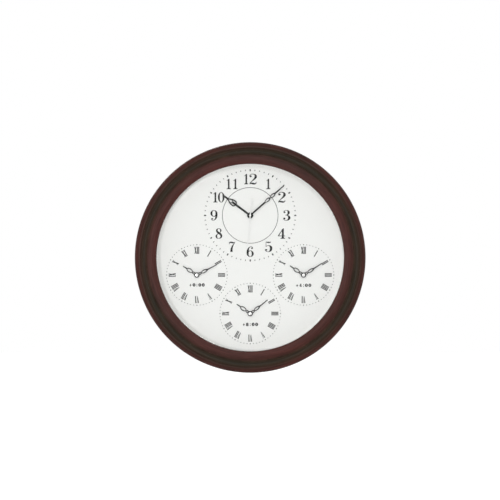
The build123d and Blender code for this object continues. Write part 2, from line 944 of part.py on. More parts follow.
def second_hand():
    """The white second hand, with a blind bush behind it that grips the second arbor."""
    face = bar(second_width, -second_tail, second_length) + Circle(second_hub)
    body = plate(face, second_hand_level, hand_thickness)
    body += disc(second_arbor_radius + collar_wall, second_hand_level, collar_height)
    hole_front = second_hand_level + hand_thickness / 2 + press_fit
    body -= disc(second_arbor_radius + press_fit, hole_front, collar_height + hand_thickness)
    return Rot(0, 0, -second_angle) * body


def hand_nut():
    """The bright nut on top of a small dial's minute hand."""
    front = minute_hand_level + hand_thickness + hand_nut_height
    nut = disc(hand_nut_radius, front, hand_nut_height)
    nut = chamfer(nut.edges().group_by(Axis.Z)[-1], hand_nut_edge)
    return nut - disc(minute_arbor_radius + press_fit, small_minute_top + press_fit, hand_nut_height)


# Every piece by its name


def all_pieces():
    """Name and shapes of each piece, still lying on its back."""
    pieces = {
        "frame_ring": [frame_ring()],
        "glass_lens": [glass_lens()],
        "spacer_ring": [spacer_ring()],
        "dial_sheet": [dial_sheet()],
        "dial_board": [dial_board()],
        "wood_screws": wood_screws(),
        "hanger_plate": [hanger_plate()],
        "wall_pads": wall_pads(),
    }
    groups = {
        "movement_gaskets": [gasket()],
        "dial_washers": [dial_washer()],
        "dial_nuts": [dial_nut()],
        "rear_covers": [rear_cover()],
        "battery_contacts": battery_contacts(),
        "circuit_boards": [circuit_board()],
        "quartz_crystals": [quartz_crystal()],
        "motor_coils": [motor_coil()],
        "motor_stators": [motor_stator()],
    }
    for group, shapes in groups.items():
        pieces[group] = [at_dial(name, shape) for name in dials for shape in shapes]
    for name in dials:
        own = {
            "front_case": front_case(),
            "hour_wheel": hour_wheel(),
            "motion_wheel": motion_wheel(),
            "set_knob": set_knob(),
            "battery": battery(),
            "hour_hand": hour_hand(name),
            "minute_hand": minute_hand(name),
        }
        if name in small_dials:
            own["minute_arbor"] = small_minute_arbor()
            own["hand_nut"] = hand_nut()
        else:
            own["minute_arbor"] = main_minute_arbor()
            own["centre_wheel"] = centre_wheel()
            own["middle_plate"] = middle_plate()
            own["third_wheel"] = third_wheel()
            own["second_wheel"] = second_wheel()
            own["fifth_wheel"] = fifth_wheel()
            own["rotor"] = rotor()
            own["second_hand"] = second_hand()
        for piece, shape in own.items():
            pieces[f"{name}_{piece}"] = [at_dial(name, shape)]
    return pieces


def stand_up(shapes):
    """All solids of a piece as one shape, with the dial upright."""
    solids = [solid for shape in shapes for solid in shape.solids()]
    return Rot(90, 0, 0) * Compound(children=solids)


os.makedirs("parts", exist_ok=True)
for piece_name, piece_shapes in all_pieces().items():
    export_step(stand_up(piece_shapes), f"parts/{piece_name}.step")
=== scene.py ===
# %% [markdown]
# # A world time wall clock
# A turned wooden ring holds a flat glass over a white sheet with one large dial and three small
# ones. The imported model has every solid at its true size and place. This lesson dresses it: what
# catches the light is made again with finer edges, the dials are printed, and each piece gets
# its finish.

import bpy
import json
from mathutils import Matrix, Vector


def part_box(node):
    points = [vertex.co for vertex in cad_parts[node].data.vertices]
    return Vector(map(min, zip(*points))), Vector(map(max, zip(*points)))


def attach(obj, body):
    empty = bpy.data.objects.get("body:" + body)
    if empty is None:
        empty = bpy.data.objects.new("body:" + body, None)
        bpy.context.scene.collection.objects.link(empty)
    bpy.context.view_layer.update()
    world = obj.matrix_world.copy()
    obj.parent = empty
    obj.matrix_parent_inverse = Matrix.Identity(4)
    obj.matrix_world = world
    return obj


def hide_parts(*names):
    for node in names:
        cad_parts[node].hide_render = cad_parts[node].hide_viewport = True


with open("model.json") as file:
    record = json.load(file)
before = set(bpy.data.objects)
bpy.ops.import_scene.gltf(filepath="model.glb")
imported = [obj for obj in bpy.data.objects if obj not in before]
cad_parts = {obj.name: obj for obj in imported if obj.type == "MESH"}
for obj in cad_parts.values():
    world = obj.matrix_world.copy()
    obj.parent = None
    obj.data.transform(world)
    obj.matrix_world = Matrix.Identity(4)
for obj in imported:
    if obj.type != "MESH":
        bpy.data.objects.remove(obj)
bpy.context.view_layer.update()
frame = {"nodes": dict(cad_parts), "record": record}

# %% [markdown]
# ## The bench
# Blender's operators act on whatever is selected, so each step starts by letting go of
# everything and taking up one piece. A finished piece keeps its place in its mesh and not in its
# object, because patterns are measured from the object's origin. Sizes are written in
# millimetres times mm.

# %% Tools of the bench
import json
from math import asin, cos, pi, radians, sin

import bpy
from mathutils import Matrix, Vector

mm = 0.001
shift = Matrix.Translation
nodes = frame["nodes"]
dial_names = ("main", "left", "right", "lower")


def let_go():
    """Leaves edit mode and selects nothing."""
    if bpy.context.object and bpy.context.object.mode != "OBJECT":
        bpy.ops.object.mode_set(mode="OBJECT")
    bpy.ops.object.select_all(action="DESELECT")


def take(piece):
    """Selects one piece and nothing else."""
    let_go()
    piece.select_set(True)
    bpy.context.view_layer.objects.active = piece
    return piece


def placed(name, data):
    """Sets a mesh, a curve, a lamp or a camera into the scene."""
    piece = bpy.data.objects.new(name, data)
    bpy.context.collection.objects.link(piece)
    return piece


def copied(piece, name, move):
    """A copy with a mesh of its own, moved by a matrix."""
    mesh = piece.data.copy()
    mesh.transform(move)
    return placed(name, mesh)


def joined(pieces, name):
    """Makes one piece of several."""
    take(pieces[0])
    for piece in pieces:
        piece.select_set(True)
    bpy.ops.object.join()
    pieces[0].name = pieces[0].data.name = name
    return pieces[0]


def seated(piece):
    """Moves a piece's place into its mesh."""
    take(piece)
    bpy.ops.object.transform_apply(location=True, rotation=True, scale=True)
    return piece


# %% [markdown]
# Most pieces are finished in the same few ways: corners that meet are merged, edges are eased
# with a bevel, and a cutter takes out what a router or a mill would. Each modifier is applied
# at once, so that the mesh itself is what is seen and measured.

# %% Tools that finish a mesh


def mended(piece, weld, flats=None):
    """Merges corners that meet and turns faces outward. Flats clears lines in flat faces."""
    take(piece)
    bpy.ops.object.mode_set(mode="EDIT")
    bpy.ops.mesh.select_all(action="SELECT")
    bpy.ops.mesh.remove_doubles(threshold=weld)
    if flats:
        bpy.ops.mesh.dissolve_limited(angle_limit=flats)
    bpy.ops.mesh.normals_make_consistent(inside=False)
    bpy.ops.object.mode_set(mode="OBJECT")
    return piece


def settled(piece, angle=30):
    """Seats a piece, and smooths what turns by less than the angle."""
    seated(piece)
    bpy.ops.object.shade_smooth_by_angle(angle=radians(angle))
    return piece


def worked(piece, kind, **settings):
    """Applies one modifier to a piece."""
    take(piece)
    tool = piece.modifiers.new("tool", kind)
    for key, value in settings.items():
        setattr(tool, key, value)
    bpy.ops.object.modifier_apply(modifier=tool.name)
    return piece


def eased(piece, width, angle=35, segments=2):
    """Takes the sharpness off a piece's edges."""
    worked(
        piece, "BEVEL", width=width, segments=segments, limit_method="ANGLE",
        angle_limit=radians(angle),
    )
    return settled(piece, angle)


def flat_faced(piece):
    """Lets the large faces set how a piece is shaded, so that flats look flat."""
    return worked(piece, "WEIGHTED_NORMAL", keep_sharp=True)


def cut(piece, cutter):
    """Takes the cutter's shape out of a piece."""
    worked(piece, "BOOLEAN", operation="DIFFERENCE", solver="EXACT", object=cutter)
    bpy.data.objects.remove(cutter)
    return piece


# %% [markdown]
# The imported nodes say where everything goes. The hands of a dial turn about its hour wheel, so
# the middle of that wheel is the middle of the dial.

# %% Where the dials are


def middle_of(node):
    """The point halfway between a node's lowest and highest corners."""
    low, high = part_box(node)
    return (low + high) / 2


dials = {}
for name in dial_names:
    hub = middle_of(f"{name}_hour_wheel")
    dials[name] = (hub.x, hub.z)
    print(name, "dial centre, mm", round(hub.x / mm, 1), round(hub.z / mm, 1))

# %% [markdown]
# ## The lathe
# The ring, the glass, the spacer, the nuts, the screws, the batteries and the felt pads are all
# round. On a lathe the tool follows a profile while the work turns, and Blender does the same:
# one vertex is extruded from point to point, and the line is spun.

# %% Turn a profile


def turned(name, profile, place=(0, 0), steps=48):
    """Spins a profile of (radius, depth) points, closed or ending on the axis, into a solid."""
    let_go()
    x, z = place
    radius, depth = profile[0]
    bpy.ops.mesh.primitive_plane_add(size=mm, location=(x + radius, depth, z))
    piece = bpy.context.object
    piece.name = piece.data.name = name
    bpy.ops.object.mode_set(mode="EDIT")
    bpy.ops.mesh.merge(type="CENTER")
    for next_radius, next_depth in profile[1:]:
        step = (next_radius - radius, next_depth - depth, 0)
        bpy.ops.mesh.extrude_region_move(TRANSFORM_OT_translate={"value": step})
        radius, depth = next_radius, next_depth
    bpy.ops.mesh.select_all(action="SELECT")
    bpy.ops.mesh.spin(steps=steps, angle=2 * pi, center=(x, 0, z), axis=(0, 1, 0))
    return settled(mended(piece, mm / 1000))


def round_edge(across, depth, radius, start, end, steps=8):
    """A round stretch of a profile. Angles run from the rim at 0 to the front at 90."""
    turns = [radians(start + (end - start) * index / steps) for index in range(steps + 1)]
    return [(across + radius * cos(turn), depth - radius * sin(turn)) for turn in turns]


def swell(start, end, depth, rise, steps=12):
    """A crown between two radii, or a hollow where the rise is below zero."""
    half = (end - start) / 2
    radius = (half ** 2 + rise ** 2) / (2 * abs(rise))
    reach = asin(min(1, half / radius))
    side = 1 if rise > 0 else -1
    points = []
    for index in range(steps + 1):
        turn = reach * (2 * index / steps - 1)
        height = radius * cos(turn) - radius + abs(rise)
        points.append((start + half + radius * sin(turn), depth - side * height))
    return points


# %% [markdown]
# ## The wooden ring
# From the window outwards the ring has a rounded lip, a slightly crowned band, a thin quirk, a
# cove and a big bead that rolls over to the side. Inside, two ledges seat the glass and the
# board. A fine spin keeps the long highlights on the bead unbroken.

# %% Turn the ring
ring_low, ring_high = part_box("frame_ring")
ring_front, ring_back, ring_radius = ring_low.y, ring_high.y, ring_high.x
glass_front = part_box("glass_lens")[0].y
board_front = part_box("dial_board")[0].y
window = 162.3 * mm
lip_round = 2.0 * mm
band_width = 13.0 * mm
band_crown = 0.8 * mm
quirk_width = 1.2 * mm
quirk_depth = 0.4 * mm
cove_width = 10.8 * mm
cove_depth = 3.2 * mm
bead_radius = 9.5 * mm
back_chamfer = 2.0 * mm
glass_seat = 168.0 * mm
cavity = 178.5 * mm
fine = 16
fine_spin = 192
wood_ease = 0.25 * mm

band_start = window + lip_round
band_edge = ring_front + band_crown
cove_start = band_start + band_width + quirk_width
cove_edge = band_edge + quirk_depth
bead_middle = ring_radius - bead_radius
ring_profile = [
    (window, glass_front),
    *round_edge(band_start, band_edge + lip_round, lip_round, 180, 90),
    *swell(band_start, band_start + band_width, band_edge, band_crown)[1:],
    *swell(cove_start, cove_start + cove_width, cove_edge, -cove_depth, fine),
    *round_edge(bead_middle, ring_front + bead_radius, bead_radius, 90, 0, fine),
    (ring_radius, ring_back - back_chamfer),
    (ring_radius - back_chamfer, ring_back),
    (cavity, ring_back),
    (cavity, board_front),
    (glass_seat, board_front),
    (glass_seat, glass_front),
    (window, glass_front),
]
ring = turned("turned_ring", ring_profile, steps=fine_spin)
eased(ring, wood_ease, angle=25)
print("ring profile points", len(ring_profile), "faces", len(ring.data.polygons))

# %% [markdown]
# At the top of its back the ring is let in for the keyhole plate, and behind the keyhole a
# deeper pocket takes the head of the wall screw. A router makes both in wood. Here a block with
# rounded corners and a stretched cylinder are cut out of the turned ring.

# %% Let the hanger into the back
plate_low, plate_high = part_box("hanger_plate")
plate_middle = middle_of("hanger_plate")
plate_corner = 2.0 * mm
corner_steps = 6
plate_room = 0.05 * mm
pocket_radius = 4.9 * mm
pocket_depth = 9.0 * mm
keyhole_travel = 5.8 * mm
keyhole_middle = 189.25 * mm
overrun = 1.0 * mm


def block(size, place):
    """A box of that size around a place."""
    let_go()
    bpy.ops.mesh.primitive_cube_add(size=1, location=place, scale=size)
    return bpy.context.object


def round_corners(piece, radius):
    """Rounds the four edges of a block that run from front to back."""
    seated(piece)
    bpy.ops.object.mode_set(mode="EDIT")
    bpy.ops.mesh.select_mode(type="EDGE")
    bpy.ops.mesh.select_all(action="DESELECT")
    bpy.ops.object.mode_set(mode="OBJECT")
    mesh = piece.data
    for edge in mesh.edges:
        start, end = [mesh.vertices[corner].co for corner in edge.vertices]
        edge.select = abs((end - start).normalized().y) > 0.9
    bpy.ops.object.mode_set(mode="EDIT")
    bpy.ops.mesh.bevel(offset=radius, segments=corner_steps)
    bpy.ops.mesh.select_mode(type="VERT")
    bpy.ops.object.mode_set(mode="OBJECT")
    print("rounded block faces", len(mesh.polygons))
    return piece


plate_size = plate_high - plate_low
let_in = block(
    (plate_size.x + 2 * plate_room, plate_size.y + overrun, plate_size.z + 2 * plate_room),
    (plate_middle.x, plate_low.y + (plate_size.y + overrun) / 2, plate_middle.z),
)
cut(ring, round_corners(let_in, plate_corner))

let_go()
pocket_back = plate_low.y + overrun / 2
pocket_length = pocket_depth + overrun / 2
bpy.ops.mesh.primitive_cylinder_add(
    vertices=48, radius=pocket_radius, depth=pocket_length,
    location=(0, pocket_back - pocket_length / 2, keyhole_middle), rotation=(pi / 2, 0, 0),
)
pocket = seated(bpy.context.object)
for vertex in pocket.data.vertices:
    vertex.co.z += keyhole_travel / 2 if vertex.co.z > keyhole_middle else -keyhole_travel / 2
cut(ring, pocket)
settled(ring)
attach(ring, "clock_case")
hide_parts("frame_ring")
print("ring faces with its pocket", len(ring.data.polygons))

# %% [markdown]
# ## Writing finishes
# A finish is a material made of nodes. These helpers keep the recipes short: one makes a
# material with plain values, one adds a node with its inputs, and one wires an output into the
# shader. A node can be fed with a plain value or with what another node gives.

# %% Helpers for finishes


def shader_of(finish):
    """The node that holds a finish's colour, gloss and the rest."""
    return finish.node_tree.nodes["Principled BSDF"]


def new_finish(name, colour, rough, metal=0.0, more=()):
    """A material whose shader holds plain values. More is a list of (socket, value)."""
    finish = bpy.data.materials.new(name)
    finish.use_nodes = True
    finish.diffuse_color = (*colour, 1)
    plain = [("Base Color", (*colour, 1)), ("Roughness", rough), ("Metallic", metal), *more]
    for socket, value in plain:
        shader_of(finish).inputs[socket].default_value = value
    return finish


def add(finish, kind, inputs, **settings):
    """Adds a node. An input is a plain value or another node's output."""
    made = finish.node_tree.nodes.new("ShaderNode" + kind)
    for key, value in settings.items():
        setattr(made, key, value)
    for key, value in inputs.items():
        if isinstance(value, bpy.types.NodeSocket):
            finish.node_tree.links.new(value, made.inputs[key])
        else:
            made.inputs[key].default_value = value
    return made


def feed(finish, socket, source):
    """Wires an output into one of the shader's inputs."""
    finish.node_tree.links.new(source, shader_of(finish).inputs[socket])


# %% [markdown]
# A pattern is a number for each point of a piece, read from the object's own coordinates in
# metres. It can be mixed with another, spread over a range, or made a colour or a relief, and
# each of these takes one node or two.

# %% Helpers for patterns


def reckon(finish, how, first, second):
    """A sum with two numbers."""
    return add(finish, "Math", {0: first, 1: second}, operation=how).outputs["Value"]


def blend(finish, share, colour, other, how="MIX"):
    """Two colours mixed. The node takes them at sockets 6 and 7 and gives the mix at 2."""
    inputs = {"Factor": share, 6: colour, 7: other}
    return add(finish, "Mix", inputs, data_type="RGBA", blend_type=how).outputs[2]


def both(finish, share, pattern, other):
    """Two patterns mixed."""
    inputs = {"Factor": share, "A": pattern, "B": other}
    return add(finish, "Mix", inputs, data_type="FLOAT").outputs["Result"]


def place_of(finish, stretch=(1, 1, 1)):
    """The point on the object, stretched along its axes."""
    point = add(finish, "TexCoord", {}).outputs["Object"]
    return add(finish, "Mapping", {"Vector": point, "Scale": stretch}).outputs["Vector"]


def noise(finish, grain, detail=4, stretch=(1, 1, 1)):
    """A mottled pattern whose spots are about grain metres wide."""
    inputs = {"Vector": place_of(finish, stretch), "Scale": 1 / grain, "Detail": detail}
    return add(finish, "TexNoise", inputs).outputs["Fac"]


def between(finish, pattern, low, high, start=0.3, end=0.7):
    """A pattern's values spread from low to high."""
    inputs = {"Value": pattern, "From Min": start, "From Max": end, "To Min": low, "To Max": high}
    return add(finish, "MapRange", inputs).outputs["Result"]


def shades(finish, pattern, stops):
    """A colour for each value of a pattern, from (value, colour) stops."""
    ramp = add(finish, "ValToRGB", {"Fac": pattern})
    elements = ramp.color_ramp.elements
    while len(elements) < len(stops):
        elements.new(1)
    for element, (value, colour) in zip(elements, stops):
        element.position = value
        element.color = (*colour, 1)
    return ramp.outputs["Color"]


def relief(finish, pattern, height):
    """Raises the surface by up to that height where the pattern is light."""
    bump = add(finish, "Bump", {"Height": pattern, "Distance": height, "Strength": 1.0})
    feed(finish, "Normal", bump.outputs["Normal"])


# %% [markdown]
# Few real surfaces are even. Most finishes on this clock vary a little in colour, gloss and
# height over spots of one size, so one recipe with a dark and a light shade serves for them.

# %% A mottled finish


def mixed(colour, other, share):
    """A colour that lies between two others."""
    return tuple(a + (b - a) * share for a, b in zip(colour, other))


def mottled(name, dark, light, rough, grain, height, metal=0.0, stretch=(1, 1, 1), shine=0.5):
    """A finish that varies a little in colour, gloss and height. Grain and height are in mm."""
    more = [("Specular IOR Level", shine)]
    finish = new_finish(name, mixed(dark, light, 0.5), rough, metal, more)
    pattern = noise(finish, grain * mm, stretch=stretch)
    feed(finish, "Base Color", shades(finish, pattern, [(0.3, dark), (0.7, light)]))
    feed(finish, "Roughness", between(finish, pattern, rough * 0.85, min(1, rough * 1.15)))
    relief(finish, pattern, height * mm)
    return finish


def wear(piece, *finishes):
    """Gives a piece its finishes."""
    piece.data.materials.clear()
    for finish in finishes:
        piece.data.materials.append(finish)


# %% [markdown]
# ## Stained wood
# The ring is stained a deep red-brown with a soft sheen, and even on its side and back. Towards
# the cove it turns darker and more olive: partly a stain that a cloth can't wipe out of the hollow,
# partly painted shade. The lip's edge gets a painted highlight. The grain runs round it: the
# pattern changes slowly with the direction from the middle and quickly across, which makes long
# thin streaks.

# %% Finish of the ring
stain_dark = (0.036, 0.0105, 0.0083)
stain_light = (0.082, 0.0245, 0.0195)
# The cove, its sides, the quirks and the band's edge turn darker and more olive than the band:
# partly a real darker stain, partly painted shade of these hollows and sloping flanks.
cove_stain_and_painted_shade = (0.42, 0.98, 0.68)
cove_side_stain_and_painted_shade = (0.75, 1.65, 1.38)
full_stain = (1.0, 1.0, 1.0)
# The lip's edge is lightened towards grey: a painted highlight where the rounded lip catches the
# light.
painted_lip_highlight = (1.2, 1.5, 1.6)
band_edge_stain_and_painted_shade = (0.78, 0.98, 0.9)
quirk_stain_and_painted_shade = (0.8, 1.5, 1.3)
even_from = -14 * mm
even_to = -10 * mm


def stained_wood():
    more = [("Specular IOR Level", 0.12)]
    wood = new_finish("stained_wood", mixed(stain_dark, stain_light, 0.5), 0.42, more=more)
    point = add(wood, "TexCoord", {}).outputs["Object"]
    inputs = {0: point, 1: (1, 0, 1)}
    flat = add(wood, "VectorMath", inputs, operation="MULTIPLY").outputs["Vector"]
    radius = add(wood, "VectorMath", {0: flat}, operation="LENGTH").outputs["Value"]
    direction = add(wood, "VectorMath", {0: flat}, operation="NORMALIZE").outputs["Vector"]
    depth = add(wood, "SeparateXYZ", {"Vector": point}).outputs["Y"]
    across = reckon(wood, "SUBTRACT", radius, depth)

    def streaks(turns, width, detail):
        """Streaks that long, in steps round the ring, and that wide."""
        inputs = {0: direction, "Scale": turns}
        along = add(wood, "VectorMath", inputs, operation="SCALE").outputs["Vector"]
        side = reckon(wood, "MULTIPLY", across, 1 / width)
        inputs = {"Vector": along, "W": side, "Scale": 1.0, "Detail": detail}
        return add(wood, "TexNoise", inputs, noise_dimensions="4D").outputs["Fac"]

    grain = streaks(5.0, 1.3 * mm, 4)
    pores = streaks(22.0, 0.45 * mm, 2)
    blotch = streaks(1.6, 40 * mm, 1)
    figure = both(wood, 0.35, grain, pores)
    colour = shades(wood, figure, [(0.34, stain_dark), (0.66, stain_light)])
    share = between(wood, radius, 0, 1, window, ring_radius)
    width = ring_radius - window
    band_end = cove_start - quirk_width
    # Across the radius this ramp holds stain and painted light: a painted highlight on the lip, and
    # painted shade over the band's edge, the quirks, the cove and the bead's inner flank.
    glaze_and_painted_light = shades(wood, share, [((edge - window) / width, stain) for edge, stain in [
        (window, painted_lip_highlight),
        (window + lip_round * 1.5, full_stain),
        (band_end - band_width * 0.5, full_stain),
        (band_end, band_edge_stain_and_painted_shade),
        (cove_start, quirk_stain_and_painted_shade),
        (cove_start + cove_width * 0.16, cove_side_stain_and_painted_shade),
        (cove_start + cove_width * 0.4, cove_stain_and_painted_shade),
        (cove_start + cove_width * 0.6, cove_stain_and_painted_shade),
        (cove_start + cove_width * 0.84, cove_side_stain_and_painted_shade),
        (cove_start + cove_width, quirk_stain_and_painted_shade),
        (bead_middle + bead_radius * 0.2, band_edge_stain_and_painted_shade),
        (bead_middle + bead_radius * 0.6, full_stain),
    ]])
    behind = between(wood, depth, 0, 1, even_from, even_to)
    even = blend(wood, behind, glaze_and_painted_light, (*full_stain, 1))
    glazed_with_painted_light = blend(wood, 1.0, colour, even, "MULTIPLY")
    patch = shades(wood, blotch, [(0.35, (0.86, 0.92, 0.9)), (0.65, (1.1, 1.02, 1.02))])
    feed(wood, "Base Color", blend(wood, 1.0, glazed_with_painted_light, patch, "MULTIPLY"))
    feed(wood, "Roughness", between(wood, figure, 0.5, 0.38))
    relief(wood, figure, 0.06 * mm)
    return wood


ring_wood = stained_wood()
wear(ring, ring_wood)
print("finish", ring_wood.name, "nodes", len(ring_wood.node_tree.nodes))

# %% [markdown]
# ## The glass and its spacer
# A flat round pane lies against the lip, and a white plastic ring behind it keeps it off the
# hands. Both are turned, and their edges have a small arris, as cut glass and plastic have.

# %% Turn the glass and the spacer
glass_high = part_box("glass_lens")[1]
glass_radius = glass_high.x
glass_back = glass_high.y
arris = 0.3 * mm
round_steps = 128
glass = turned("front_glass", [
    (0, glass_front),
    (glass_radius - arris, glass_front),
    (glass_radius, glass_front + arris),
    (glass_radius, glass_back - arris),
    (glass_radius - arris, glass_back),
    (0, glass_back),
], steps=round_steps)
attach(glass, "clock_case")
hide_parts("glass_lens")

sheet_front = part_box("dial_sheet")[0].y
spacer_inside = window + 1.0 * mm
spacer = turned("white_spacer", [
    (spacer_inside, glass_back + arris),
    (spacer_inside + arris, glass_back),
    (glass_radius, glass_back),
    (glass_radius, sheet_front),
    (spacer_inside + arris, sheet_front),
    (spacer_inside, sheet_front - arris),
    (spacer_inside, glass_back + arris),
], steps=round_steps)
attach(spacer, "clock_case")
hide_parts("spacer_ring")
# %% [markdown]
# Real glass would stop the lamps' light in Blender, so shadow rays and scattered light pass
# straight through. It bends little and so mirrors little, like a coated pane: a plain one
# would lay a grey veil over the black hands.

# %% Finish of the glass and the spacer
glass_tint = (0.99, 0.993, 0.99)
glass_bend = 1.2


def window_glass():
    pane = new_finish("window_glass", glass_tint, 0.0, more=[
        ("Transmission Weight", 1.0), ("IOR", glass_bend), ("Specular IOR Level", 0.1),
    ])
    rays = add(pane, "LightPath", {}).outputs
    free = reckon(pane, "MAXIMUM", rays["Is Shadow Ray"], rays["Is Diffuse Ray"])
    through = add(pane, "BsdfTransparent", {"Color": (*glass_tint, 1)}).outputs["BSDF"]
    seen = add(pane, "MixShader", {0: free, 1: shader_of(pane).outputs["BSDF"], 2: through})
    out = pane.node_tree.nodes["Material Output"]
    pane.node_tree.links.new(seen.outputs["Shader"], out.inputs["Surface"])
    return pane


wear(glass, window_glass())
wear(spacer, mottled("white_plastic", (0.82, 0.82, 0.80), (0.87, 0.87, 0.855), 0.45, 1.2, 0.01))
print("glass faces", len(glass.data.polygons), "spacer faces", len(spacer.data.polygons))

# %% [markdown]
# ## A pen for the numerals
# The numerals are fat where a stroke runs up and down, hair-thin where it runs across, and end
# in round drops. They are written with a broad pen: a Bezier curve whose ribbon is tilted flat,
# pressed harder where a knot's radius is larger. Faces with straight sides make stems and feet.

# %% Pen, drop, stem and foot
fat = 0.155
hair = 0.06
press = 1.4
curve_steps = 7
drop_corners = 20


def pen(knots, closed=False):
    """A flat ribbon along a smooth line of (x, y, width) knots."""
    line = bpy.data.curves.new("pen", "CURVE")
    line.dimensions = "3D"
    line.twist_mode = "Z_UP"
    line.extrude = 0.5
    line.resolution_u = curve_steps
    spline = line.splines.new("BEZIER")
    spline.bezier_points.add(len(knots) - 1)
    spline.use_cyclic_u = closed
    spline.radius_interpolation = "CARDINAL"
    for point, (x, y, width) in zip(spline.bezier_points, knots):
        point.co = (x, y, 0)
        point.radius = width * press
        point.tilt = pi / 2
        point.handle_left_type = point.handle_right_type = "AUTO"
    return placed("pen", line)


def oval(x, y, half_width, half_height, side=0.118, top=0.034):
    """Knots all round an oval, pressed at its sides."""
    knots = []
    for index in range(8):
        turn = pi * index / 4
        width = top + (side - top) * abs(cos(turn)) ** 1.8
        knots.append((x + half_width * cos(turn), y + half_height * sin(turn), width))
    return knots


def face(corners):
    """A flat shape with straight sides."""
    mesh = bpy.data.meshes.new("face")
    mesh.from_pydata([(x, y, 0) for x, y in corners], [], [range(len(corners))])
    return placed("face", mesh)


def bar(left, right, low, high):
    """A straight stretch of a numeral."""
    return face([(left, low), (right, low), (right, high), (left, high)])


def drop(x, y, radius):
    """The round end of a stroke."""
    turns = [2 * pi * index / drop_corners for index in range(drop_corners)]
    return face([(x + radius * cos(turn), y + radius * sin(turn)) for turn in turns])


def foot(x, reach):
    """A slab under a stem, bracketed where they meet."""
    half = fat / 2
    knee, top = hair + 0.012, hair + 0.07
    return face([
        (x - reach, 0), (x + reach, 0), (x + reach, hair), (x + half + 0.05, knee),
        (x + half, top), (x - half, top), (x - half - 0.05, knee), (x - reach, hair),
    ])


print("pen widths, of the numeral's height", hair, fat)

# %% [markdown]
# The strokes overlap where they join, as ink does. Each is given a thin body, and a union melts
# them into one closed shape, so a numeral is a clean solid that could be cut or printed.

# %% Melt strokes into one shape
body_depth = 0.02


def melted(strokes, name):
    """Gives flat strokes a body and joins them into one solid."""
    take(strokes[0])
    for stroke in strokes:
        stroke.select_set(True)
    bpy.ops.object.convert(target="MESH")
    for stroke in strokes:
        mended(stroke, 1e-5)
        if sum(side.normal.z * side.area for side in stroke.data.polygons) < 0:
            stroke.data.flip_normals()
        worked(stroke, "SOLIDIFY", thickness=body_depth, offset=-1)
    shape, last = strokes[0], strokes[-1]
    if len(strokes) > 2:
        joined(strokes[:-1], name)
    if len(strokes) > 1:
        worked(shape, "BOOLEAN", operation="UNION", solver="EXACT", use_self=True, object=last)
        bpy.data.objects.remove(last)
    shape.name = shape.data.name = name
    return shape


# %% [markdown]
# Each numeral is drawn one unit high on the line y 0, with x measured from its middle. A knot
# of a pen stroke is x, y and a width, and the value press makes all the widths bolder alike.

